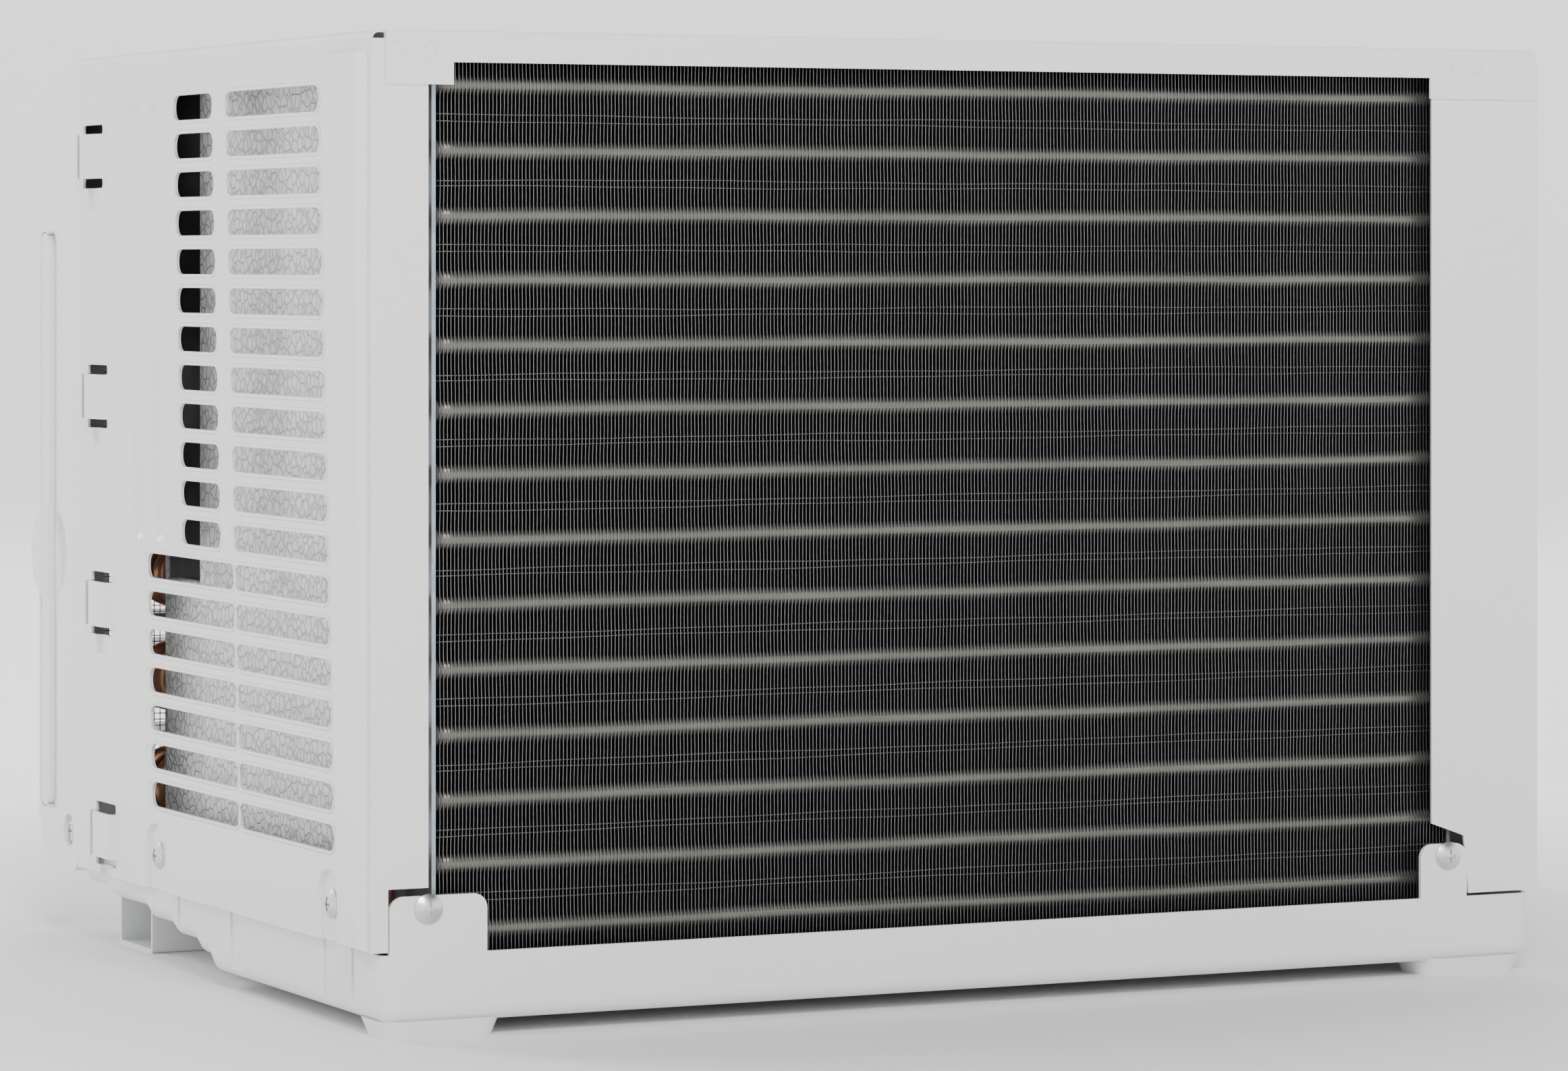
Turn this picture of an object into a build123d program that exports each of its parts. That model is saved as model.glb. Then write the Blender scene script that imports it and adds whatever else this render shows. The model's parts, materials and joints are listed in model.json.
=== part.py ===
from build123d import *
import math
import os

os.makedirs("parts", exist_ok=True)

# A room air conditioner that sits in a window.  Millimetres, +Z up.
# The room side faces -Y, the outdoor coil faces +Y, the origin is under the middle of the case.

# ---------------------------------------------------------------- driving dimensions
cab_w = 470.0  # width over the side panels
cab_top = 346.0  # top of the case above the standing surface
cab_depth = 313.5  # front edge of the steel case to its rear face
rear_y = 197.5  # rear face of the steel case
skirt_z = 30.6  # lower edge of the side panels
nose = 84.0  # depth of the plastic front, in front of the steel case
sheet = 1.0  # steel of the case
pan_t = 1.5  # steel of the base pan
wall = 2.5  # moulded plastic walls
lean = 0.06  # the side openings step towards the rear by this much per mm of drop

gap = 0.3  # air left between pieces that only lie next to each other
panel_gap = 0.6  # seam round panels, buttons and the filter handle
pin_gap = 0.08  # radial clearance of pivots and shafts

hw = cab_w / 2
seam_y = rear_y - cab_depth
front_y = seam_y - nose
in_top = cab_top - sheet - gap  # highest place inside the case
in_side = hw - sheet - gap  # widest place inside the case

# ---------------------------------------------------------------- small helpers


def block(x, y, z, mode=Mode.ADD):
    """Box between two corners, each argument a (low, high) pair."""
    with Locations(((x[0] + x[1]) / 2, (y[0] + y[1]) / 2, (z[0] + z[1]) / 2)):
        Box(x[1] - x[0], y[1] - y[0], z[1] - z[0], mode=mode)


def facing_front(y):
    """Plane across the case at depth y: local axes +X, +Z, extrusions go to -Y."""
    return Plane.XZ.offset(-y)


def facing_side(x):
    """Plane along the case at x: local axes +Y, +Z, extrusions go to +X."""
    return Plane.YZ.offset(x)


def facing_in(x):
    """Plane on the right-hand panel looking inwards: local axes -Y, +Z, extrusions go to -X."""
    return Plane((x, 0, 0), x_dir=(0, -1, 0), z_dir=(-1, 0, 0))


def save(builder, name):
    builder.part.label = name
    export_step(builder.part, f"parts/{name}.step")


def pipe(points, bend, radius, bore=0.0):
    """Round tube along straight runs joined by arcs."""
    with BuildPart() as tube:
        with BuildLine() as route:
            FilletPolyline(*points, radius=bend)
        with BuildSketch(Plane(route.line @ 0, z_dir=route.line % 0)):
            Circle(radius)
            if bore:
                Circle(bore, mode=Mode.SUBTRACT)
        sweep(path=route.line)
    return tube.part


def screw(head_r, head_h, shank_r, shank_l):
    """Pan-head screw with a cross recess; the head's seat is at z=0 and the head points to +Z."""
    with BuildPart() as body:
        rim = 0.3 * head_h
        dome_r = (head_r**2 + (head_h - rim) ** 2) / (2 * (head_h - rim))
        half = math.asin(head_r / dome_r) / 2
        with BuildSketch(Plane.XZ):
            with BuildLine():
                Polyline((0, head_h), (0, -shank_l), (shank_r, -shank_l), (shank_r, 0), (head_r, 0), (head_r, rim))
                crest = (dome_r * math.sin(half), head_h - dome_r + dome_r * math.cos(half))
                ThreePointArc((head_r, rim), crest, (0, head_h))
            make_face()
        revolve(axis=Axis.Z)
        with BuildSketch(Plane.XY.offset(head_h)):
            Rectangle(0.95 * head_r, 0.2 * head_r)
            Rectangle(0.2 * head_r, 0.95 * head_r)
        extrude(amount=-0.55 * head_h, mode=Mode.SUBTRACT)
    return body.part


# ---------------------------------------------------------------- base pan
pan_hw = hw - 3.2
pan_y0 = seam_y + 0.5
floor_z = 5.6  # underside of the deep rear part
floor_top = floor_z + pan_t
pan_wall_z = skirt_z + 19.0
rail_z = skirt_z - 1.0  # top of the rear rail between its two ears
tread_z = (24.3, 21.3, 17.8, 14.6, 10.8)  # treads of the stepped underside, front to rear
tread_end = (20.0, 66.0, 95.0, 122.0, 137.0)  # where each tread ends, behind the front edge
riser = 7.0
pan_edge_r = 6.0
step_r = 3.0
ear_left = (hw - 42.4, hw - 6.6)
ear_right = (-hw + 31.8, -hw + 51.8)
foot = (46.0, 27.0)
foot_x = hw - 26.0
side_screw_z = skirt_z + 13.0
side_screw_y = (rear_y - 222.8, rear_y - 41.8)
rear_screw_x = (hw - 20.5, -hw + 40.1)
rear_screw_z = skirt_z + 14.5
screw_r = 2.0
flute_y = ((rear_y - 149.5, 12.0), (rear_y - 55.0, 13.0), (rear_y - 28.0, 4.0), (rear_y - 207.0, 3.0))


def pan_body(inset):
    """Closed body of the pan: stepped side outline, rounded lower edges."""
    top = pan_wall_z + 6
    side = [(pan_y0 + inset, top), (pan_y0 + inset, tread_z[0] + inset)]
    for k, z in enumerate(tread_z):
        lower = tread_z[k + 1] if k + 1 < len(tread_z) else floor_z
        side.append((pan_y0 + tread_end[k], z + inset))
        side.append((pan_y0 + tread_end[k] + riser, lower + inset))
    side += [(rear_y - inset, floor_z + inset), (rear_y - inset, top)]
    with BuildPart() as body:
        with BuildSketch(facing_side(-pan_hw + inset)) as outline:
            with BuildLine():
                Polyline(*side, close=True)
            make_face()
            steps = outline.vertices().filter_by_position(Axis.Z, floor_z + inset - 1, tread_z[0] + inset + 1)
            fillet(steps.sort_by(Axis.Y)[1:-1], radius=step_r)
        extrude(amount=2 * (pan_hw - inset))
        low = body.faces().filter_by(Axis.X).edges().filter_by_position(Axis.Z, 0, tread_z[0] + inset + 0.1)
        back = body.edges().filter_by(Axis.Z).sort_by(Axis.Y)[-2:]
        under = body.edges().filter_by(Axis.X).sort_by(Axis.Z)[:3].sort_by(Axis.Y)[-1:]
        fillet(low + back + under, radius=pan_edge_r - inset)
    return body.part


pan_outer = pan_body(0.0)
pan_inner = pan_body(pan_t)

with BuildPart() as base_pan:
    add(pan_outer)
    add(pan_inner, mode=Mode.SUBTRACT)
    block((-hw, hw), (seam_y - 5, rear_y + 5), (pan_wall_z, pan_wall_z + 20), mode=Mode.SUBTRACT)
    # the rear rail is low between the two ears and outside them
    with BuildSketch(facing_front(rear_y + 5)) as ears:
        with Locations((0, rail_z + 20)):
            Rectangle(cab_w, 40)
        for ear in (ear_left, ear_right):
            with Locations(((ear[0] + ear[1]) / 2, rail_z)):
                RectangleRounded(ear[1] - ear[0], 2 * (pan_wall_z - rail_z), 5, mode=Mode.SUBTRACT)
    extrude(amount=5 + pan_edge_r + 0.5, mode=Mode.SUBTRACT)
    # feet pressed out of the two rear corners
    with BuildSketch(Plane.XY.offset(floor_z + 1)):
        with Locations((foot_x - 1, rear_y - 1 - foot[1] / 2), (-foot_x + 1, rear_y - 1 - foot[1] / 2)):
            RectangleRounded(foot[0], foot[1], 9)
    extrude(amount=-floor_z - 1, taper=22)
    # flutes pressed into the side walls
    for y, width in flute_y:
        for side in (-1, 1):
            with Locations((side * pan_hw, y + width / 2, skirt_z)):
                Box(1.2, width, 60, mode=Mode.SUBTRACT)
    # screw holes
    for y in side_screw_y:
        with Locations(Location((0, y, side_screw_z), (0, 90, 0))):
            Cylinder(screw_r + 0.15, cab_w, mode=Mode.SUBTRACT)
    for x in rear_screw_x:
        with Locations(Location((x, rear_y, rear_screw_z), (90, 0, 0))):
            Cylinder(screw_r + 0.15, 12, mode=Mode.SUBTRACT)
save(base_pan, "base_pan")

# ---------------------------------------------------------------- support channel under the front
channel_hw = hw - 17.0
channel_t = 1.6
channel_y = (pan_y0, pan_y0 + 38.0)
with BuildPart() as support_channel:
    block((-channel_hw, channel_hw), channel_y, (0, channel_t))
    block((-channel_hw, channel_hw), (channel_y[0], channel_y[0] + channel_t), (0, tread_z[0] - 0.1))
    block((-channel_hw, channel_hw), (channel_y[1] - channel_t, channel_y[1]), (0, tread_z[1] - 0.1))
    long_edges = support_channel.edges().filter_by(Axis.X).sort_by(Axis.Z)
    fillet(long_edges[:1] + long_edges[1:2], radius=1.2)
save(support_channel, "support_channel")

# ---------------------------------------------------------------- steel case
flange = 1.0  # the side flanges lie one sheet inside the top flange
header_z = cab_top - 10.9
header_x = (-hw + 2.0, hw - 5.0)
tab_z = header_z - 7.7
tab_w = (hw - 30.0, -hw + 47.6)
left_flange = hw - 21.0
right_flange = -hw + 46.4
notch_z = skirt_z + 21.6
strip_x = hw - 6.2
slot_pitch = 14.29
slot_h = 9.2
slot_top = cab_top - 22.2
long_slots = (rear_y - 146.3, rear_y - 51.0)
short_slots = (rear_y - 202.5, rear_y - 160.0)
wide_slots = (rear_y - 241.5, rear_y - 146.5)
low_rows = 7
slot_rows = int((slot_top - skirt_z - 30.0) / slot_pitch) + 1
rib = (rear_y - 43.5, rear_y - 4.0)  # upright rib beside the rear corner
rib_h = 3.5
rib_taper = 20.0
hook_z = tuple(slot_top - k for k in (4.3, 97.0, 176.8, 265.4))
hook_y = rear_y - 296.3
hook_size = (23.3, 24.4)
hook_arm = 3.4
bead_y = (rear_y - 248.3, rear_y - 225.3)
bead_z = (slot_top - 162.5, slot_top + 3.5)
dent = 1.7
top_holes_y = seam_y + 18.0
top_hole_r = 2.4
top_hole_pitch = 120.0


def drift(z):
    return lean * (slot_top - z)


def pressings(x, depth):
    """Shallow pressings of the right-hand panel, from the plane x inwards."""
    with BuildPart() as press:
        for y in bead_y:
            middle = (bead_z[0] + bead_z[1]) / 2
            turn = -math.degrees(math.atan(lean))
            with BuildSketch(facing_in(x)):
                with Locations((-y - drift(middle), middle)):
                    RectangleRounded(17, bead_z[1] - bead_z[0], 7, rotation=turn)
            extrude(amount=depth, taper=50)
        for z in hook_z:
            with BuildSketch(facing_in(x)):
                with Locations((-hook_y - drift(z), z - hook_size[1] - 3.0)):
                    RectangleRounded(13, 12, 4)
            extrude(amount=depth, taper=45)
        for y in side_screw_y:
            with BuildSketch(facing_in(x)):
                with Locations((-y, side_screw_z - 10)):
                    RectangleRounded(24, 44, 11.5)
            extrude(amount=depth, taper=30)
    return press.part


dents_out = pressings(hw, dent)
dents_in = pressings(hw - sheet, dent)

with BuildPart() as tongue:
    # bent-out tongue of one curtain hook with the lip in front of it, drawn for the hook at y=0, z=0
    half = hook_size[0] / 2
    with BuildSketch(Plane.XY.offset(-hook_size[1] / 2 + hook_arm + 0.2)):
        with BuildLine():
            Polyline(
                (hw - 0.6, half + 0.2), (hw, half + 6.5), (hw + 2.9, half - 1.0), (hw + 2.9, -half + 4.2),
                (hw + 1.9, -half + 4.2), (hw + 1.9, half - 1.4), (hw - 0.6, half + 0.2),
            )
        make_face()
    extrude(amount=hook_size[1] - 2 * hook_arm - 0.4)
    with BuildSketch(Plane.XY.offset(-hook_size[1] / 2 + hook_arm + 0.2)):
        with BuildLine():
            Polyline((hw - 0.5, -half - 3.5), (hw + 2.4, -half - 1.2), (hw + 2.4, -half - 0.2), (hw - 0.5, -half - 1.4), close=True)
        make_face()
    extrude(amount=hook_size[1] - 2 * hook_arm - 0.4)
hook_tongue = tongue.part



def rib_solid(inset, height, top):
    """Upright rib of the right-hand panel: its front edge leans, its rear edge is upright."""
    with BuildPart() as body:
        with BuildSketch(facing_side(hw - 3.0)):
            with BuildLine():
                Polyline((rib[0] + inset, top), (rib[0] + inset + drift(skirt_z), skirt_z - 1), (rib[1] - inset, skirt_z - 1),
                         (rib[1] - inset, top), close=True)
            make_face()
        extrude(amount=3.0 + height, taper=rib_taper)
        block((hw - 5, hw + 10), (seam_y, rear_y), (0, skirt_z), mode=Mode.SUBTRACT)
    return body.part


rib_skin = rib_solid(0.0, rib_h, slot_top + 17.0)
rib_hollow = rib_solid(sheet, rib_h - sheet, slot_top + 17.0 - sheet)

with BuildPart() as cabinet_wrap:
    # one sheet bent over both sides and the top
    with BuildSketch(facing_front(rear_y - 2 * flange)):
        with BuildLine():
            Polyline((-hw, skirt_z), (-hw, cab_top), (hw, cab_top), (hw, skirt_z), (hw - sheet, skirt_z),
                     (hw - sheet, cab_top - sheet), (-hw + sheet, cab_top - sheet), (-hw + sheet, skirt_z), close=True)
        make_face()
    extrude(amount=cab_depth - 2 * flange)
    bends = cabinet_wrap.edges().filter_by(Axis.Y).sort_by(Axis.Z)
    fillet(bends[-2:], radius=3.0)
    fillet(bends[-4:-2], radius=2.0)
    # side flanges turned inwards at the rear
    with BuildSketch(facing_front(rear_y - flange)):
        with BuildLine():
            Polyline((hw, skirt_z), (hw, cab_top - 3), (left_flange, cab_top - 3), (left_flange, notch_z),
                     (strip_x, notch_z), (strip_x, skirt_z), close=True)
        make_face()
        with BuildLine():
            Polyline((-hw, skirt_z), (-hw, cab_top - 3), (right_flange, cab_top - 3), (right_flange, notch_z + 5),
                     (right_flange - 14, notch_z), (right_flange - 16, skirt_z), close=True)
        make_face()
    extrude(amount=flange)
    # top flange with its two ears, lying over the side flanges
    with BuildSketch(facing_front(rear_y)) as header:
        with BuildLine():
            Polyline((header_x[0], cab_top - 0.4), (header_x[1], cab_top - 0.4), (header_x[1], tab_z), (tab_w[0], tab_z),
                     (tab_w[0], header_z), (tab_w[1], header_z), (tab_w[1], tab_z), (header_x[0], tab_z), close=True)
        make_face()
        ears_low = header.vertices().filter_by_position(Axis.Z, tab_z - 1, tab_z + 1)
        fillet(ears_low, radius=3.5)
    extrude(amount=flange)
    block((header_x[0], header_x[1]), (rear_y - 2 * flange, rear_y - flange), (cab_top - 3.1, cab_top))
    # clinch points
    with Locations(*[Location((x, rear_y, header_z + 4), (90, 0, 0)) for x in
                     (tab_w[0] + 8.6, tab_w[0] + 20.9, tab_w[1] - 7.0, tab_w[1] - 19.4)]):
        Cylinder(2.7, 1.0, mode=Mode.SUBTRACT)
    # pressings, rib and hooks on both side panels
    for skin, mode in ((dents_in, Mode.ADD), (dents_out, Mode.SUBTRACT), (rib_skin, Mode.ADD), (rib_hollow, Mode.SUBTRACT)):
        add(skin, mode=mode)
        add(skin.mirror(Plane.YZ), mode=mode)
    # air slots and hook openings through both side panels
    with BuildSketch(facing_side(-hw - 10)):
        for row in range(slot_rows):
            z = slot_top - row * slot_pitch
            upper = row < slot_rows - low_rows
            spans = (long_slots, short_slots) if upper else (long_slots, wide_slots)
            for span in spans:
                with Locations(((span[0] + span[1]) / 2 + drift(z), z)):
                    RectangleRounded(span[1] - span[0], slot_h, 4.4)
        for z in hook_z:
            y = hook_y + drift(z)
            middle = z - hook_size[1] / 2
            with Locations((y, z - hook_arm / 2), (y, z - hook_size[1] + hook_arm / 2)):
                RectangleRounded(hook_size[0], hook_arm, 1.2)
            with Locations((y - hook_size[0] / 2 + 2.8, middle)):
                Rectangle(3.2, hook_size[1] - 2)
    extrude(amount=cab_w + 20, mode=Mode.SUBTRACT)
    for z in hook_z:
        middle = z - hook_size[1] / 2
        block((-hw - 5, hw + 5), (hook_y + drift(z) - hook_size[0] / 2, hook_y + drift(z) + hook_size[0] / 2),
              (middle - hook_size[1] / 2 + hook_arm, middle + hook_size[1] / 2 - hook_arm), mode=Mode.SUBTRACT)
        with Locations((0, hook_y + drift(z), middle)):
            add(hook_tongue)
        with Locations((0, hook_y + drift(z), middle)):
            add(hook_tongue.mirror(Plane.YZ))
    block((-hw - 5, hw + 5), (seam_y, rear_y), (0, skirt_z), mode=Mode.SUBTRACT)
    # screw holes
    for y in side_screw_y:
        with Locations(Location((0, y, side_screw_z), (0, 90, 0))):
            Cylinder(screw_r + 0.15, cab_w + 10, mode=Mode.SUBTRACT)
    with Locations((0, top_holes_y, cab_top)):
        with GridLocations(top_hole_pitch, 1, 4, 1):
            Cylinder(top_hole_r, 6, mode=Mode.SUBTRACT)
save(cabinet_wrap, "cabinet_wrap")

# ---------------------------------------------------------------- case and pan screws
head_r = 5.2
head_h = 2.5
shank_l = 4.5
case_screw = screw(head_r, head_h, screw_r, shank_l)
with BuildPart() as side_screws:
    for y in side_screw_y:
        with Locations(Location((hw - dent, y, side_screw_z), (0, 90, 0)), Location((-hw + dent, y, side_screw_z), (0, -90, 0))):
            add(case_screw)
save(side_screws, "side_screws")
with BuildPart() as rear_screws:
    for x in rear_screw_x:
        with Locations(Location((x, rear_y, rear_screw_z), (-90, 0, 0))):
            add(case_screw)
save(rear_screws, "rear_screws")


# ---------------------------------------------------------------- coils
def make_coil(x, y_rows, z0, rows, pitch, tube_r, fin_z, fin_y, plate_z, plate_t):
    """Fin block, serpentine tubes in two columns and two end plates.

    Both open ends are at the top of the -X side."""
    fit = 0.15
    over = 2.5
    with BuildPart() as fins:
        block(x, fin_y, fin_z)
        with Locations(*[Location((0, y, z0 + k * pitch), (0, 90, 0)) for y in y_rows for k in range(rows)]):
            Cylinder(tube_r + fit, x[1] - x[0] + 100, mode=Mode.SUBTRACT)
    with BuildPart() as plates:
        block((x[0] - gap - plate_t, x[0] - gap), fin_y, plate_z)
        block((x[1] + gap, x[1] + gap + plate_t), fin_y, plate_z)
        with Locations(*[Location((0, y, z0 + k * pitch), (0, 90, 0)) for y in y_rows for k in range(rows)]):
            Cylinder(tube_r + fit, x[1] - x[0] + 100, mode=Mode.SUBTRACT)
    ends = (x[0] - gap - plate_t - over, x[1] + gap + plate_t + over)
    with BuildPart() as tubes:
        for y in y_rows:
            for k in range(rows):
                with BuildSketch(facing_side(ends[0])):
                    with Locations((y, z0 + k * pitch)):
                        Circle(tube_r)
                extrude(amount=ends[1] - ends[0])
            for k in range(rows - 1):
                side = (k + 1) % 2
                with BuildSketch(facing_side(ends[side])):
                    with Locations((y, z0 + k * pitch)):
                        Circle(tube_r)
                centre = (ends[side], y, z0 + (k + 0.5) * pitch)
                turn = (0, 1, 0) if side == 0 else (0, -1, 0)
                revolve(axis=Axis(centre, turn), revolution_arc=180)
        with BuildSketch(facing_side(ends[0])):
            with Locations((y_rows[0], z0)):
                Circle(tube_r)
        centre = (ends[0], (y_rows[0] + y_rows[1]) / 2, z0)
        revolve(axis=Axis(centre, (0, 0, -1)), revolution_arc=180)
    return fins, tubes, plates, ends[0]


coil_depth = 44.0
coil_y1 = rear_y - 8.0
coil_y0 = coil_y1 - coil_depth
coil_x = (-hw + 36.0, hw - 26.8)
cond_pitch = 22.4
cond_top = cab_top - 18.6  # highest tube row
cond_z0 = floor_top + 18.0
cond_rows = 2 * int((cond_top - cond_z0) / cond_pitch / 2) + 2
cond_bottom = cond_top - (cond_rows - 1) * cond_pitch
cond_cols = (coil_y0 + 11.2, coil_y0 + 32.8)
cond_tube_r = 3.5
plate_t = 1.5
condenser_fins, condenser_tubes, condenser_plates, cond_stub = make_coil(
    coil_x, cond_cols, cond_bottom, cond_rows, cond_pitch, cond_tube_r,
    (cond_bottom - 11.2, cond_top + 11.2), (coil_y0, coil_y1), (floor_top + gap, cond_top + 11.2), plate_t)
save(condenser_fins, "condenser_fins")
save(condenser_tubes, "condenser_tubes")
save(condenser_plates, "condenser_plates")

evap_y = (seam_y + 4.0, seam_y + 40.0)
evap_cols = (evap_y[0] + 9.0, evap_y[0] + 27.0)
evap_x = (-hw + 34.0, hw - 38.0)
evap_top = cab_top - 98.0  # top of the inner coil, below the outlet duct
evap_pitch = 20.4
evap_rows = 2 * int((evap_top - tread_z[0] - 10.0) / evap_pitch / 2)
evap_z1 = evap_top - evap_pitch / 2
evap_z0 = evap_z1 - (evap_rows - 1) * evap_pitch
evap_tube_r = 3.5
evap_floor = tread_z[0] + pan_t + gap
evaporator_fins, evaporator_tubes, evaporator_plates, evap_stub = make_coil(
    evap_x, evap_cols, evap_z0, evap_rows, evap_pitch, evap_tube_r,
    (evap_z0 - evap_pitch / 2, evap_top), evap_y, (evap_floor, evap_top), plate_t)
save(evaporator_fins, "evaporator_fins")
save(evaporator_tubes, "evaporator_tubes")
save(evaporator_plates, "evaporator_plates")

# ---------------------------------------------------------------- fan shroud of foam, rear fan, shaft
fan_r = 124.0  # blade tips, and the inside of the slinger ring
ring_t = 3.0
orifice_gap = 4.0
comp_x = -hw + 85.0
comp_r = 52.0
shroud_x = (comp_x + comp_r + 24.0, hw - 14.0)
shroud_z = (floor_top + gap, in_top - 6.0)
shroud_y = (coil_y0 - 79.5, coil_y0 - 4.5)
shaft_x = (shroud_x[0] + shroud_x[1]) / 2
shaft_z = floor_top + fan_r + ring_t + 12.0
shaft_r = 6.0
fan_y = (shroud_y[0] + 18.0, shroud_y[0] + 54.0)
plenum = 29.0
foam_t = 9.0
wing_t = 5.5
wing_lap = (12.0, 49.0)
wing_z = tread_z[1] + pan_t + gap
scroll_y = (seam_y + 45.0, seam_y + 113.0)
with BuildPart() as fan_shroud:
    block(shroud_x, shroud_y, shroud_z)
    block((shroud_x[0] + foam_t, shroud_x[1] - foam_t), (shroud_y[1] - plenum, shroud_y[1] + 1),
          (shroud_z[0] + foam_t, shroud_z[1] - foam_t), mode=Mode.SUBTRACT)
    with BuildSketch(facing_front(shroud_y[1])):
        with Locations((shaft_x, shaft_z)):
            Circle(fan_r + ring_t + orifice_gap)
    extrude(amount=shroud_y[1] - shroud_y[0], mode=Mode.SUBTRACT)
    with BuildSketch(facing_front(shroud_y[0] + 6)):
        with Locations((shaft_x, shaft_z)):
            Circle(fan_r + ring_t + orifice_gap)
    extrude(amount=6, taper=-35, mode=Mode.SUBTRACT)
    # wing that closes the side towards the front, passing outside the scroll; it reaches further low down
    for lap, z in ((wing_lap[0], (wing_z, shroud_z[1])), (wing_lap[1], (wing_z, shaft_z))):
        block((shroud_x[1] - wing_t, shroud_x[1]), (scroll_y[1] - lap, shroud_y[0]), z)
save(fan_shroud, "fan_shroud")

blades = 5
ring_w = 14.0  # slinger ring round the blade tips
with BuildPart() as condenser_fan:
    with BuildSketch(facing_front(fan_y[1])):
        with Locations((shaft_x, shaft_z)):
            Circle(26)
    extrude(amount=fan_y[1] - fan_y[0])
    for k in range(blades):
        turn = Location((shaft_x, (fan_y[0] + fan_y[1]) / 2, shaft_z), (0, 360 / blades * k, 0))
        root = Plane(turn * Location((0, 0, 20), (0, 0, 52)))
        tip = Plane(turn * Location((0, 0, fan_r + 1), (0, 0, 24)))
        with BuildSketch(root):
            SlotOverall(34, 3.0, rotation=90)
        with BuildSketch(tip):
            SlotOverall(62, 2.4, rotation=0)
        loft()
    with BuildSketch(facing_front(fan_y[1])):
        with Locations((shaft_x, shaft_z)):
            Circle(fan_r + 1)
    extrude(amount=fan_y[1] - fan_y[0], mode=Mode.INTERSECT)
    with BuildSketch(facing_front(fan_y[1])):
        with Locations((shaft_x, shaft_z)):
            Circle(fan_r + ring_t)
            Circle(fan_r, mode=Mode.SUBTRACT)
    extrude(amount=ring_w)
    with BuildSketch(facing_front(fan_y[1])):
        with Locations((shaft_x, shaft_z)):
            Circle(shaft_r + pin_gap)
    extrude(amount=60, mode=Mode.SUBTRACT)
save(condenser_fan, "condenser_fan")

# ---------------------------------------------------------------- outlet window shared by scroll, duct and front
outlet_z = (cab_top - 82.0, cab_top - 34.0)
outlet_x = (-hw + 37.0, shaft_x + 20.0)
duct_t = 6.0

# ---------------------------------------------------------------- blower scroll and its cover
wheel_r = 86.0
wheel_gap = 10.0
scroll_wall = 6.0
cover_t = 5.0
scroll_x = (-hw + 30.0, hw - 20.0)
scroll_z = (tread_z[0] + pan_t + gap, in_top - 7.0)
inlet_r = 68.0
with BuildPart() as scroll_housing:
    block(scroll_x, (scroll_y[0] + cover_t + gap, scroll_y[1]), scroll_z)
    # spiral passage: the radius grows from the cut-off, down the right, along the bottom, up the left
    r0 = wheel_r + wheel_gap
    r1 = r0 + 10.0
    r2 = r1 + 12.0
    lip = (shaft_x + r0 * math.cos(math.radians(58)), shaft_z + r0 * math.sin(math.radians(58)))
    with BuildSketch(facing_front(scroll_y[1] - scroll_wall)):
        with BuildLine():
            Line((outlet_x[1], outlet_z[0]), lip)
            ThreePointArc(lip, (shaft_x + r0 * math.cos(math.radians(29)), shaft_z + r0 * math.sin(math.radians(29))),
                          (shaft_x + r0, shaft_z))
            RadiusArc((shaft_x + r0, shaft_z), (shaft_x + r0 - r1, shaft_z - r1), r1)
            RadiusArc((shaft_x + r0 - r1, shaft_z - r1), (shaft_x + r0 - r1 - r2, shaft_z - r1 + r2), r2)
            Polyline((shaft_x + r0 - r1 - r2, shaft_z - r1 + r2), (shaft_x + r0 - r1 - r2 - 8, shaft_z + 70),
                     (outlet_x[0], outlet_z[0]), (outlet_x[0], outlet_z[1]), (outlet_x[1], outlet_z[1]),
                     (outlet_x[1], outlet_z[0]))
        make_face()
    extrude(amount=scroll_y[1] - scroll_y[0], mode=Mode.SUBTRACT)
    with BuildSketch(facing_front(scroll_y[1] + 1)):
        with Locations((shaft_x, shaft_z)):
            Circle(shaft_r + 6)
    extrude(amount=scroll_wall + 2, mode=Mode.SUBTRACT)
save(scroll_housing, "scroll_housing")

with BuildPart() as scroll_cover:
    block(scroll_x, (scroll_y[0], scroll_y[0] + cover_t), scroll_z)
    block(outlet_x, (scroll_y[0] - 1, scroll_y[0] + cover_t + 1), outlet_z, mode=Mode.SUBTRACT)
    with BuildSketch(facing_front(scroll_y[0] + cover_t)):
        with Locations((shaft_x, shaft_z)):
            Circle(inlet_r)
    extrude(amount=cover_t, taper=-40, mode=Mode.SUBTRACT)
save(scroll_cover, "scroll_cover")

# ---------------------------------------------------------------- blower wheel and shaft
wheel_y = (scroll_y[0] + cover_t + 5.0, scroll_y[1] - scroll_wall - 5.0)
wheel_blades = 36
vane_t = 1.2
with BuildPart() as blower_wheel:
    with BuildSketch(facing_front(wheel_y[1])):
        with Locations((shaft_x, shaft_z)):
            Circle(wheel_r)
    extrude(amount=2.0)
    with BuildSketch(facing_front(wheel_y[1])):
        with Locations((shaft_x, shaft_z)):
            Circle(16)
    extrude(amount=24)
    with BuildSketch(facing_front(wheel_y[0] + 3)):
        with Locations((shaft_x, shaft_z)):
            Circle(wheel_r)
            Circle(wheel_r - 14, mode=Mode.SUBTRACT)
    extrude(amount=3)
    with BuildSketch(facing_front(wheel_y[1] - 1)):
        with Locations((shaft_x, shaft_z)):
            with PolarLocations(wheel_r - 7, wheel_blades):
                Rectangle(14, vane_t, rotation=38)
    extrude(amount=wheel_y[1] - wheel_y[0] - 3)
    with BuildSketch(facing_front(wheel_y[1] + 1)):
        with Locations((shaft_x, shaft_z)):
            Circle(shaft_r + pin_gap)
    extrude(amount=60, mode=Mode.SUBTRACT)
save(blower_wheel, "blower_wheel")

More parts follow.
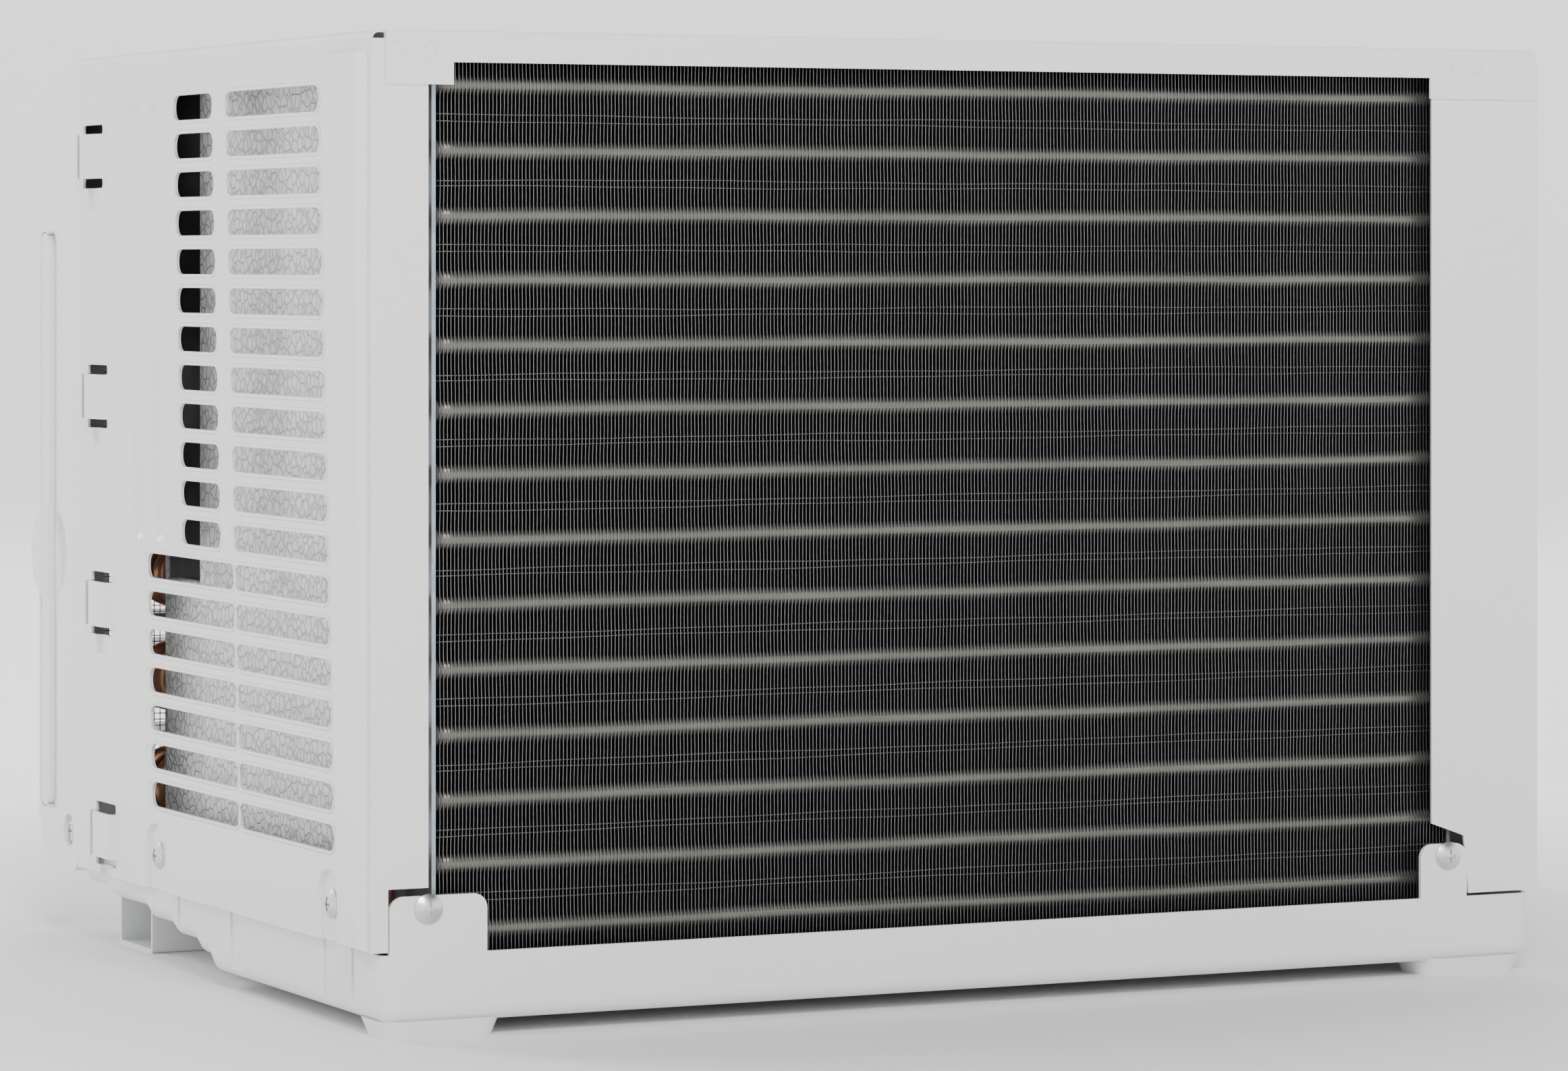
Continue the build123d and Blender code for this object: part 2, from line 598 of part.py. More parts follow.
motor_y = (scroll_y[1] + 7.0, scroll_y[1] + 65.0)
motor_r = 41.0
with BuildPart() as motor_shaft:
    with BuildSketch(facing_front(fan_y[1] + 6)):
        with Locations((shaft_x, shaft_z)):
            Circle(shaft_r)
    extrude(amount=fan_y[1] + 6 - wheel_y[1] + 26)
    # nut that clamps the rear fan on the shaft
    with BuildSketch(facing_front(fan_y[1] + 5)):
        with Locations((shaft_x, shaft_z)):
            RegularPolygon(shaft_r + 4, 6)
    extrude(amount=5 - gap)
save(motor_shaft, "motor_shaft")

with BuildPart() as fan_motor:
    with BuildSketch(facing_front(motor_y[1])):
        with Locations((shaft_x, shaft_z)):
            Circle(motor_r)
    extrude(amount=motor_y[1] - motor_y[0])
    rims = fan_motor.edges().filter_by(GeomType.CIRCLE)
    fillet(rims, radius=5)
    for y, depth in ((motor_y[1] + 6, 6), (motor_y[0], 5)):
        with BuildSketch(facing_front(y)):
            with Locations((shaft_x, shaft_z)):
                Circle(14)
        extrude(amount=depth)
    with BuildSketch(facing_front((motor_y[0] + motor_y[1]) / 2 + 4)):
        with Locations((shaft_x, shaft_z)):
            Circle(motor_r + 2)
    extrude(amount=8)
    with BuildSketch(facing_front(motor_y[1] + 10)):
        with Locations((shaft_x, shaft_z)):
            Circle(shaft_r + pin_gap)
    extrude(amount=90, mode=Mode.SUBTRACT)
save(fan_motor, "fan_motor")

bracket_t = 1.5
bracket_w = 96.0
bracket_mid = (motor_y[0] + motor_y[1]) / 2
with BuildPart() as motor_bracket:
    # bent plate: foot on the base pan, upright with a ring round the motor's belly band
    with BuildSketch(facing_front(bracket_mid + 4 + bracket_t + gap)):
        with Locations((shaft_x, (shaft_z + floor_top) / 2)):
            Rectangle(bracket_w, shaft_z - floor_top)
        with Locations((shaft_x, shaft_z)):
            Circle(bracket_w / 2)
            Circle(motor_r + gap, mode=Mode.SUBTRACT)
        with Locations((shaft_x, floor_top + 34)):
            RectangleRounded(bracket_w - 34, 36, 6, mode=Mode.SUBTRACT)
    extrude(amount=bracket_t)
    block((shaft_x - bracket_w / 2, shaft_x + bracket_w / 2), (bracket_mid + 4 + gap, bracket_mid + 30),
          (floor_top + 0.1, floor_top + 0.1 + bracket_t))
    for side in (-1, 1):
        x = shaft_x + side * (bracket_w / 2 - bracket_t / 2)
        block((x - bracket_t / 2, x + bracket_t / 2), (bracket_mid + 4 + gap, bracket_mid + 26),
              (floor_top + 0.1, shaft_z - 20))
save(motor_bracket, "motor_bracket")

# ---------------------------------------------------------------- compressor
comp_y = rear_y - 125.5
comp_top = cab_top - 122.0
foot_ring = comp_r + 6.0
foot_base = floor_top + 8.5
plate_h = 2.5
feet_at = (90, 210, 330)
feet = [(comp_x + foot_ring * math.cos(math.radians(a)), comp_y + foot_ring * math.sin(math.radians(a))) for a in feet_at]
stud_r = 3.0
with BuildPart() as compressor:
    with BuildSketch(Plane.XY.offset(foot_base)):
        with Locations(*feet):
            Circle(10)
        make_hull()
        with Locations(*feet):
            Circle(stud_r + 1.5, mode=Mode.SUBTRACT)
    extrude(amount=plate_h)
    with BuildSketch(Plane.XY.offset(foot_base + plate_h)):
        with Locations((comp_x, comp_y)):
            Circle(comp_r)
    extrude(amount=comp_top - foot_base - plate_h)
    crown = compressor.faces().sort_by(Axis.Z)[-1].edges()
    fillet(crown, radius=20)
    # weld seam and pipe stubs
    with BuildSketch(Plane.XY.offset(comp_top - 46)):
        with Locations((comp_x, comp_y)):
            Circle(comp_r + 1.2)
    extrude(amount=5)
    with BuildSketch(Plane.XY.offset(comp_top - 1)):
        with Locations((comp_x, comp_y)):
            Circle(7)
    extrude(amount=5)
save(compressor, "compressor")

with BuildPart() as compressor_grommets:
    for x, y in feet:
        with BuildSketch(Plane.XY.offset(floor_top + 0.1)):
            with Locations((x, y)):
                Circle(9)
                Circle(stud_r + 0.1, mode=Mode.SUBTRACT)
        extrude(amount=foot_base - floor_top - 0.2)
        with BuildSketch(Plane.XY.offset(foot_base - 0.2)):
            with Locations((x, y)):
                Circle(stud_r + 1.3)
                Circle(stud_r + 0.1, mode=Mode.SUBTRACT)
        extrude(amount=plate_h + 0.4)
save(compressor_grommets, "compressor_grommets")

with BuildPart() as compressor_studs:
    for x, y in feet:
        with BuildSketch(Plane.XY.offset(floor_top + 0.05)):
            with Locations((x, y)):
                Circle(stud_r)
        extrude(amount=26)
        with BuildSketch(Plane.XY.offset(foot_base + plate_h + 0.4)):
            with Locations((x, y)):
                RegularPolygon(5.2, 6)
        extrude(amount=5)
save(compressor_studs, "compressor_studs")

with BuildPart() as terminal_cover:
    block((comp_x - 18, comp_x + 18), (comp_y - comp_r - 13, comp_y - comp_r + 12), (comp_top - 100, comp_top - 56))
    corners = terminal_cover.edges().filter_by(Axis.Z).sort_by(Axis.Y)[:2]
    fillet(corners, radius=6)
    with BuildSketch(Plane.XY.offset(comp_top - 110)):
        with Locations((comp_x, comp_y)):
            Circle(comp_r + gap)
    extrude(amount=70, mode=Mode.SUBTRACT)
save(terminal_cover, "terminal_cover")

acc_r = 17.0
acc_at = (comp_x + comp_r + 14.0, comp_y - 34.0)
acc_z = (60.0, comp_top - 44.0)
with BuildPart() as accumulator:
    with BuildSketch(Plane.XY.offset(acc_z[0])):
        with Locations(acc_at):
            Circle(acc_r)
    extrude(amount=acc_z[1] - acc_z[0])
    fillet(accumulator.edges().filter_by(GeomType.CIRCLE), radius=9)
    add(pipe([(acc_at[0], acc_at[1], acc_z[0] + 3), (acc_at[0], acc_at[1], acc_z[0] - 18),
              (acc_at[0] - 17.2, acc_at[1] + 8.9, acc_z[0] - 18)], 10, 4.8))
save(accumulator, "accumulator")

# ---------------------------------------------------------------- pipes
liquid_x = -hw + 10.0
vapour_x = -hw + 14.5
liquid_r = 3.2
vapour_r = 4.75
cap_r = 1.3
joint_gap = 0.1
cond_top_z = cond_bottom + (cond_rows - 1) * cond_pitch
evap_top_z = evap_z1
with BuildPart() as discharge_pipe:
    add(pipe([(comp_x, comp_y, comp_top + 4 + joint_gap), (comp_x, comp_y, comp_top + 80),
              (vapour_x, comp_y + 40, cond_top_z), (vapour_x, cond_cols[0], cond_top_z),
              (cond_stub - joint_gap, cond_cols[0], cond_top_z)], 6, liquid_r))
save(discharge_pipe, "discharge_pipe")

suction_z = comp_top + 18.0
with BuildPart() as suction_pipe:
    add(pipe([(evap_stub - joint_gap, evap_cols[1], evap_top_z), (vapour_x - 1, evap_cols[1], evap_top_z),
              (vapour_x - 1, acc_at[1] - 22, suction_z), (acc_at[0], acc_at[1] - 12, suction_z - 4),
              (acc_at[0], acc_at[1], suction_z - 22), (acc_at[0], acc_at[1], acc_z[1] + joint_gap)], 5.5, vapour_r))
save(suction_pipe, "suction_pipe")

drier_at = (comp_x - 40.0, coil_y0 - 13.5)
drier_r = 9.0
drier_z = (comp_top - 54.0, comp_top + 16.0)
with BuildPart() as filter_drier:
    with BuildSketch(Plane((drier_at[0], drier_at[1], 0), x_dir=(1, 0, 0), z_dir=(0, -1, 0))):
        with BuildLine():
            Polyline((0, drier_z[0] - 12), (liquid_r, drier_z[0] - 12), (liquid_r, drier_z[0] - 4), (drier_r, drier_z[0] + 4),
                     (drier_r, drier_z[1] - 4), (liquid_r, drier_z[1] + 4), (liquid_r, drier_z[1] + 12), (0, drier_z[1] + 12),
                     close=True)
        make_face()
    revolve(axis=Axis((drier_at[0], drier_at[1], 0), (0, 0, 1)))
save(filter_drier, "filter_drier")

with BuildPart() as liquid_pipe:
    add(pipe([(cond_stub - joint_gap, cond_cols[1], cond_top_z), (liquid_x, cond_cols[1], cond_top_z),
              (liquid_x, cond_cols[1], drier_z[1] + 52), (liquid_x, drier_at[1], drier_z[1] + 42),
              (drier_at[0], drier_at[1], drier_z[1] + 36), (drier_at[0], drier_at[1], drier_z[1] + 12 + joint_gap)],
             6, liquid_r))
save(liquid_pipe, "liquid_pipe")

cap_turns = 5
cap_pitch = 3.4
cap_coil_r = 10.0
cap_z = drier_z[0] - 60.0
with BuildPart() as capillary_tube:
    with BuildLine() as winding:
        Helix(cap_pitch, cap_pitch * cap_turns, cap_coil_r, center=(drier_at[0], drier_at[1], cap_z))
    with BuildSketch(Plane(winding.line @ 0, z_dir=winding.line % 0)):
        Circle(cap_r)
    sweep(path=winding.line, is_frenet=True)
    start = winding.line @ 1
    add(pipe([(start.X, start.Y, start.Z - 0.8), (start.X, start.Y, start.Z + 14),
              (drier_at[0], drier_at[1], start.Z + 24), (drier_at[0], drier_at[1], drier_z[0] - 12 - joint_gap)], 5, cap_r))
    end = winding.line @ 0
    low_z = end.Z - 16
    add(pipe([(end.X, end.Y, end.Z + 0.8), (end.X, end.Y, low_z), (liquid_x, end.Y - 12, low_z),
              (liquid_x, evap_cols[0], low_z), (liquid_x, evap_cols[0], evap_top_z),
              (evap_stub - joint_gap, evap_cols[0], evap_top_z)], 6, cap_r))
save(capillary_tube, "capillary_tube")

# ---------------------------------------------------------------- plastic front
front_hw = hw - 0.4
knee_y = seam_y - 48.0
front_corner = 16.0  # how far the sides draw in between the knee and the front face
top_fall = 0.27  # the top falls towards the room by this much per mm
frame_top = cab_top - 1.6
frame_low = skirt_z - 2.6
frame_back = seam_y - gap


def front_body(inset, back):
    """Closed body of the front, shrunk by inset and open or flush at the back plane."""
    face = front_y + inset
    drop = top_fall * (frame_back - face)
    with BuildPart() as body:
        with BuildSketch(facing_side(-hw)) as side:
            with BuildLine():
                Polyline((back, frame_low + inset), (face, frame_low + inset + 2.0), (face, frame_top - inset - drop),
                         (back, frame_top - inset - top_fall * (frame_back - back)), close=True)
            make_face()
            fillet(side.vertices().group_by(Axis.Y)[0], radius=9 - inset)
        extrude(amount=cab_w)
        with BuildSketch(Plane.XY) as plan:
            with BuildLine():
                Polyline((-front_hw + inset, back), (-front_hw + inset, knee_y), (-front_hw + front_corner + inset, face),
                         (front_hw - front_corner - inset, face), (front_hw - inset, knee_y), (front_hw - inset, back), close=True)
            make_face()
            fillet(plan.vertices().group_by(Axis.Y)[0], radius=10 - inset)
            fillet(plan.vertices().filter_by_position(Axis.Y, knee_y - 0.1, knee_y + 0.1), radius=8)
        extrude(amount=cab_top + 10, mode=Mode.INTERSECT)
    return body.part


frame_outer = front_body(0.0, frame_back)
frame_inner = front_body(wall, frame_back + 1)

grille_x = (-hw + 30.0, hw - 30.0)
grille_z = (frame_low + 17.0, outlet_z[0] - 18.0)
panel_x = (outlet_x[1] + 17.0, hw - 29.0)
panel_z = (outlet_z[0] - 1.0, outlet_z[1] + 1.0)
filter_y = (seam_y - 49.0, seam_y - 38.0)  # slot in the side wall, rounded front handle
filter_z = (skirt_z + 20.0, skirt_z + 248.0)
handle_x = hw - 14.0
groove_y = (filter_y[1], filter_y[1] + 11.0)
grip_z = skirt_z + 121.5
grip_half = 18.0
louvre_y = front_y + 22.0
vane_y = front_y + 60.0
duct_y = (front_y + wall + gap, scroll_y[0] - gap)
duct_x = (outlet_x[0] - duct_t, outlet_x[1] + duct_t)
duct_z = (outlet_z[0] - duct_t, outlet_z[1] + duct_t)
frame_screw = (seam_y - 13.0, side_screw_z)
cord_hole = (hw - 60.0, seam_y - 24.0)
cord_r = 8.0
rail_t = 2.5
rail_x = (-front_hw + wall - 0.5, handle_x - 1)
filter_body_z = (filter_z[0] + 4.0, duct_z[0] - 4.5)
filter_body_y = (filter_y[0] + 3.0, filter_y[1] - 3.0)

with BuildPart() as front_frame:
    add(frame_outer)
    add(frame_inner, mode=Mode.SUBTRACT)
    for x, z in ((outlet_x, outlet_z), (grille_x, grille_z), (panel_x, panel_z)):
        with BuildSketch(facing_front(front_y + 20)):
            with Locations(((x[0] + x[1]) / 2, (z[0] + z[1]) / 2)):
                RectangleRounded(x[1] - x[0], z[1] - z[0], 4)
        extrude(amount=30, mode=Mode.SUBTRACT)
    # thicker side wall round the filter slot, then the groove and the thumb scoop beside the slot
    block((hw - 9.0, front_hw - 1), (filter_y[0] - 4, groove_y[1] + 4), (filter_z[0] - 4, filter_z[1] + 4))
    block((hw - 8.0, front_hw - 1), (groove_y[0], groove_y[1] + 14), (grip_z - grip_half - 4, grip_z + grip_half + 4))
    with BuildSketch(facing_side(hw - 3.2)):
        with Locations(((groove_y[0] + groove_y[1]) / 2 - 2, (filter_z[0] + filter_z[1]) / 2)):
            RectangleRounded(groove_y[1] - groove_y[0] + 4, filter_z[1] - filter_z[0], 5)
    extrude(amount=10, mode=Mode.SUBTRACT)
    with BuildSketch(facing_side(hw + 1)):
        with BuildLine():
            Line((groove_y[0] - 1, grip_z + grip_half), (groove_y[0] - 1, grip_z - grip_half))
            ThreePointArc((groove_y[0] - 1, grip_z - grip_half), (groove_y[0] + 23, grip_z), (groove_y[0] - 1, grip_z + grip_half))
        make_face()
    extrude(amount=-6.0, taper=28, mode=Mode.SUBTRACT)
    with BuildSketch(facing_side(handle_x - 10)):
        with Locations(((filter_y[0] + filter_y[1]) / 2, (filter_z[0] + filter_z[1]) / 2)):
            RectangleRounded(filter_y[1] - filter_y[0], filter_z[1] - filter_z[0], 5)
    extrude(amount=40, mode=Mode.SUBTRACT)
    # rails that carry the filter
    for z, lip in ((filter_body_z[0] - 2 * gap, 1), (filter_body_z[1] + 2 * gap, -1)):
        floor = sorted((z, z - lip * rail_t))
        lips = sorted((z - lip * 0.5, z + lip * 5))
        block(rail_x, (filter_body_y[0] - 3.5, filter_body_y[1] + 3.5), floor)
        block(rail_x, (filter_body_y[0] - 3.5, filter_body_y[0] - 1.0), lips)
        block(rail_x, (filter_body_y[1] + 1.0, filter_body_y[1] + 3.5), lips)
    for z in (filter_body_z[0] - 2 * gap - rail_t, filter_body_z[1] + 2 * gap):
        block((handle_x - 14, hw - 7.5), (filter_y[0] - 3.0, filter_y[0] - 0.1), (z, z + rail_t))
        block((handle_x - 14, hw - 7.5), (filter_y[1] + 0.1, filter_y[1] + 3.0), (z, z + rail_t))
    # countersunk screw seats, one in each side wall
    for side in (-1, 1):
        with Locations((side * (hw - 4.5), frame_screw[0], frame_screw[1])):
            Box(6, 15, 20)
        with Locations(Location((side * (hw + 0.4), frame_screw[0], frame_screw[1]), (0, side * 90, 0))):
            CounterBoreHole(screw_r + 0.15, head_r + 1.2, 3.4, 12)
    # hole for the cord bush
    with Locations((cord_hole[0], cord_hole[1], frame_low)):
        Cylinder(cord_r, 12, mode=Mode.SUBTRACT)
save(front_frame, "front_frame")

with BuildPart() as frame_screws:
    for side in (-1, 1):
        with Locations(Location((side * (hw - 3.0), frame_screw[0], frame_screw[1]), (0, side * 90, 0))):
            add(case_screw)
save(frame_screws, "frame_screws")

slat_pitch = 11.5
slat_t = 2.4
slat_depth = 8.0
grille_rim = 9.0
with BuildPart() as front_grille:
    with BuildSketch(facing_front(front_y + wall + 4)):
        with Locations(((grille_x[0] + grille_x[1]) / 2, (grille_z[0] + grille_z[1]) / 2)):
            RectangleRounded(grille_x[1] - grille_x[0] - 2 * panel_gap, grille_z[1] - grille_z[0] - 2 * panel_gap, 3.5)
            RectangleRounded(grille_x[1] - grille_x[0] - 2 * grille_rim, grille_z[1] - grille_z[0] - 2 * grille_rim, 2,
                             mode=Mode.SUBTRACT)
    extrude(amount=wall + 4)
    with BuildSketch(facing_front(front_y + wall + 4)):
        with Locations(((grille_x[0] + grille_x[1]) / 2, (grille_z[0] + grille_z[1]) / 2)):
            Rectangle(grille_x[1] - grille_x[0] + 8, grille_z[1] - grille_z[0] + 8)
            Rectangle(grille_x[1] - grille_x[0] - 2 * grille_rim, grille_z[1] - grille_z[0] - 2 * grille_rim, mode=Mode.SUBTRACT)
    extrude(amount=4 - gap)
    slats = int((grille_z[1] - grille_z[0] - 2 * grille_rim) / slat_pitch)
    with BuildSketch(facing_side(grille_x[0] + grille_rim - 1)):
        with Locations((front_y + 1.0 + slat_depth / 2, (grille_z[0] + grille_z[1]) / 2)):
            with GridLocations(1, slat_pitch, 1, slats):
                Rectangle(slat_depth, slat_t, rotation=-24)
    extrude(amount=grille_x[1] - grille_x[0] - 2 * grille_rim + 2)
    with Locations(((grille_x[0] + grille_x[1]) / 2, front_y + 6.4, (grille_z[0] + grille_z[1]) / 2)):
        with GridLocations(68, 1, 5, 1):
            Box(2.4, 4, grille_z[1] - grille_z[0] - 2 * grille_rim + 2)
save(front_grille, "front_grille")

# ---------------------------------------------------------------- control panel
button_r = 5.2
button_pitch = 15.6
button_gap = 0.45
button_travel = 1.0
button_row_z = panel_z[0] + 12.0
panel_mid = (panel_x[0] + panel_x[1]) / 2
panel_recess = 1.2
button_recess = 0.3
button_names = ("power", "mode", "fan", "cooler", "warmer", "timer")
button_x = [panel_mid + (k - (len(button_names) - 1) / 2) * button_pitch for k in range(len(button_names))]
display_size = (50.0, 18.0)
display_z = panel_z[1] - 14.0
with BuildPart() as control_panel:
    with BuildSketch(facing_front(front_y + wall)):
        with Locations((panel_mid, (panel_z[0] + panel_z[1]) / 2)):
            RectangleRounded(panel_x[1] - panel_x[0] - 2 * panel_gap, panel_z[1] - panel_z[0] - 2 * panel_gap, 3.5)
    extrude(amount=wall - panel_recess)
    with BuildSketch(facing_front(front_y + wall + gap + 2)):
        with Locations((panel_mid, (panel_z[0] + panel_z[1]) / 2)):
            Rectangle(panel_x[1] - panel_x[0] + 6, panel_z[1] - panel_z[0] + 4)
    extrude(amount=2)
    block((panel_x[0] + 2, panel_x[1] - 2), (front_y + wall - 0.5, front_y + wall + 1), (panel_z[0] + 2, panel_z[1] - 2))
    with BuildSketch(facing_front(front_y + 20)):
        with Locations(*[(x, button_row_z) for x in button_x]):
            Circle(button_r + button_gap)
        with Locations((panel_mid, display_z)):
            RectangleRounded(*display_size, 3)
    extrude(amount=30, mode=Mode.SUBTRACT)
save(control_panel, "control_panel")

with BuildPart() as display_window:
    with BuildSketch(facing_front(front_y + wall + gap + 2)):
        with Locations((panel_mid, display_z)):
            RectangleRounded(display_size[0] - 2 * gap, display_size[1] - 2 * gap, 2.7)
    extrude(amount=wall + gap + 2 - panel_recess + 0.2)
save(display_window, "display_window")

for name, x in zip(button_names, button_x):
    with BuildPart() as button:
        with BuildSketch(facing_front(front_y + wall + gap + 3.4)):
            with Locations((x, button_row_z)):
                Circle(button_r)
        extrude(amount=wall + gap + 3.4 - button_recess)
        crown = button.faces().sort_by(Axis.Y)[0].edges()
        fillet(crown, radius=0.7)
        with BuildSketch(facing_front(front_y + wall + gap + 3.4)):
            with Locations((x, button_row_z)):
                Circle(button_r + 1.4)
        extrude(amount=1.1)
    save(button, f"button_{name}")

with BuildPart() as display_board:
    block((panel_x[0], panel_x[1]), (front_y + wall + gap + 5.6, front_y + wall + gap + 7.2), (panel_z[0], panel_z[1]))
    block((panel_mid - 20, panel_mid + 20), (front_y + wall + gap + 2.4, front_y + wall + gap + 5.7), (display_z - 7, display_z + 7))
save(display_board, "display_board")

# ---------------------------------------------------------------- outlet duct, louvres and vanes
louvres = 3
louvre_pitch = (outlet_z[1] - outlet_z[0]) / louvres
louvre_chord = 18.0
louvre_t = 2.2
pivot_r = 1.6
pivot_l = 4.0
side_play = 1.0
vanes = 6
vane_pitch = (outlet_x[1] - outlet_x[0]) / vanes
vane_chord = 26.0
vane_thick = 1.8
crank = 9.0
crank_r = 1.2
link_t = 2.6
link_w = 7.0
link_play = 0.6
link_floor = 1.2
vane_foot = link_floor + link_t + 1.2
louvre_z = [outlet_z[0] + (k + 0.5) * louvre_pitch for k in range(louvres)]
vane_x = [outlet_x[0] + (k + 0.5) * vane_pitch for k in range(vanes)]

with BuildPart() as outlet_duct:
    block(duct_x, duct_y, duct_z)
    block(outlet_x, (duct_y[0] - 1, duct_y[1] + 1), outlet_z, mode=Mode.SUBTRACT)
    for z in louvre_z:
        with Locations(Location(((duct_x[0] + duct_x[1]) / 2, louvre_y, z), (0, 90, 0))):
            Cylinder(pivot_r + pin_gap, duct_x[1] - duct_x[0] - 2 * (duct_t - pivot_l - side_play), mode=Mode.SUBTRACT)
    for x in vane_x:
        with Locations((x, vane_y, (duct_z[0] + duct_z[1]) / 2)):
            Cylinder(pivot_r + pin_gap, duct_z[1] - duct_z[0] - 2 * (duct_t - pivot_l - side_play), mode=Mode.SUBTRACT)
save(outlet_duct, "outlet_duct")

for k, z in enumerate(louvre_z):
    with BuildPart() as louvre:
        with BuildSketch(facing_side(outlet_x[0] + side_play)):
            with Locations((louvre_y, z)):
                SlotOverall(louvre_chord, louvre_t)
        extrude(amount=outlet_x[1] - outlet_x[0] - 2 * side_play)
        with BuildSketch(facing_side(outlet_x[0] + side_play - pivot_l)):
            with Locations((louvre_y, z)):
                Circle(pivot_r)
        extrude(amount=outlet_x[1] - outlet_x[0] - 2 * side_play + 2 * pivot_l)
    save(louvre, f"louvre_{k + 1}")

for k, x in enumerate(vane_x):
    with BuildPart() as vane:
        with BuildSketch(Plane.XY.offset(outlet_z[0] + vane_foot)):
            with Locations((x, vane_y)):
                SlotOverall(vane_chord, vane_thick, rotation=90)
                Circle(pivot_r + 0.5)
        extrude(amount=outlet_z[1] - outlet_z[0] - vane_foot - side_play)
        with BuildSketch(Plane.XY.offset(outlet_z[0] + side_play - pivot_l)):
            with Locations((x, vane_y)):
                Circle(pivot_r)
        extrude(amount=outlet_z[1] - outlet_z[0] - 2 * side_play + 2 * pivot_l)
        with BuildSketch(Plane.XY.offset(outlet_z[0] + link_floor - 0.4)):
            with Locations((x, vane_y + crank)):
                Circle(crank_r)
        extrude(amount=vane_foot)
    save(vane, f"vane_{k + 1}")

for name, group in (("left", vane_x[:3]), ("right", vane_x[3:])):
    with BuildPart() as link:
        block((group[0] - 5, group[-1] + 5), (vane_y + crank - link_w / 2, vane_y + crank + link_w / 2),
              (outlet_z[0] + link_floor, outlet_z[0] + link_floor + link_t))
        for x in group:
            with BuildSketch(Plane.XY.offset(outlet_z[0])):
                with Locations((x, vane_y + crank - 0.7)):
                    SlotOverall(5.0, 2 * (crank_r + link_play), rotation=90)
            extrude(amount=8, mode=Mode.SUBTRACT)
    save(link, f"vane_link_{name}")

# ---------------------------------------------------------------- slide-out filter
handle_shape = front_body(0.3, frame_back)
with BuildPart() as filter_frame:
    add(handle_shape)
    with BuildSketch(facing_side(handle_x)):
        with Locations(((filter_y[0] + filter_y[1]) / 2, (filter_z[0] + filter_z[1]) / 2)):
            RectangleRounded(filter_y[1] - filter_y[0] - 2 * panel_gap, filter_z[1] - filter_z[0] - 2 * panel_gap, 4.5)
    extrude(amount=30, mode=Mode.INTERSECT)
    # thumb grip standing proud of the handle
    block((hw - 4, hw + 0.2), (filter_y[0] + panel_gap, filter_y[1] - panel_gap), (grip_z - grip_half, grip_z + grip_half))
    with BuildSketch(facing_side(hw)):
        with BuildLine():
            Line((filter_y[1] - panel_gap, grip_z - grip_half), (filter_y[1] - panel_gap, grip_z + grip_half))
            ThreePointArc((filter_y[1] - panel_gap, grip_z + grip_half), (filter_y[0] - 2, grip_z),
                          (filter_y[1] - panel_gap, grip_z - grip_half))
        make_face()
    extrude(amount=2.8, taper=18)
    # ladder frame that carries the mesh
    x = (-front_hw + wall + 8.0, handle_x)
    block(x, filter_body_y, filter_body_z)
    with BuildSketch(facing_front(filter_y[1])):
        middle = ((x[0] + x[1]) / 2, (filter_body_z[0] + filter_body_z[1]) / 2)
        cell = ((x[1] - x[0] - 16) / 4, (filter_body_z[1] - filter_body_z[0] - 16) / 3)
        with Locations(middle):
            with GridLocations(cell[0], cell[1], 4, 3):
                RectangleRounded(cell[0] - 5, cell[1] - 5, 2)
    extrude(amount=filter_y[1] - filter_y[0], mode=Mode.SUBTRACT)
save(filter_frame, "filter_frame")
mesh_y = (filter_body_y[0] + filter_body_y[1]) / 2
with BuildPart() as filter_mesh:
    with BuildSketch(facing_front(mesh_y + 0.3)):
        with Locations(middle):
            with GridLocations(cell[0], cell[1], 4, 3):
                RectangleRounded(cell[0] - 5 - 2 * gap, cell[1] - 5 - 2 * gap, 2)
    extrude(amount=0.6)
save(filter_mesh, "filter_mesh")

# ---------------------------------------------------------------- control box and small parts
box_x = (outlet_x[1] + 12.0, in_side - 8.0)
box_y = (seam_y - 26.0, scroll_y[0] - 2.0)
box_z = (evap_top + 6.0, cab_top - 22.0)
box_t = 1.2
with BuildPart() as control_box:
    block(box_x, box_y, box_z)
    block((box_x[0] + box_t, box_x[1] - box_t), (box_y[0] - 1, box_y[1] - box_t), (box_z[0] + box_t, box_z[1] - box_t),
          mode=Mode.SUBTRACT)
save(control_box, "control_box")
with BuildPart() as circuit_board:
    block((box_x[0] + 6, box_x[1] - 6), (box_y[1] - box_t - 8, box_y[1] - box_t - 6.4), (box_z[0] + 5, box_z[1] - 5))
    with Locations((box_x[0] + 24, box_y[1] - 18, box_z[0] + 20)):
        Box(22, 20, 16)
    with Locations((box_x[0] + 56, box_y[1] - 16, box_z[0] + 24)):
        Box(28, 16, 24)
    with Locations((box_x[0] + 30, box_y[1] - 15, box_z[1] - 18)):
        Box(34, 14, 12)
save(circuit_board, "circuit_board")
with BuildPart() as run_capacitor:
    with Locations(Location(((box_x[0] + box_x[1]) / 2, box_y[0] + 22, (box_z[0] + box_z[1]) / 2), (0, 90, 0))):
        Cylinder(17.5, 62)
    ends = run_capacitor.edges().filter_by(GeomType.CIRCLE)
    fillet(ends, radius=2.5)
save(run_capacitor, "run_capacitor")
with BuildPart() as cord_bush:
    with Locations((cord_hole[0], cord_hole[1], frame_low - 1.6)):
        Cylinder(cord_r + 3, 2.4)
    with Locations((cord_hole[0], cord_hole[1], frame_low + 3)):
        Cylinder(cord_r - gap, 9)
        Cylinder(4.4, 30, mode=Mode.SUBTRACT)
save(cord_bush, "cord_bush")
with BuildPart() as room_sensor:
    with Locations(Location((hw - 90.0, evap_y[0] - 5, evap_top - 60), (0, 0, 0))):
        Cylinder(3, 46)
    with Locations((hw - 90.0, evap_y[0] - 3, evap_top - 60)):
        Box(10, 5.6, 10)
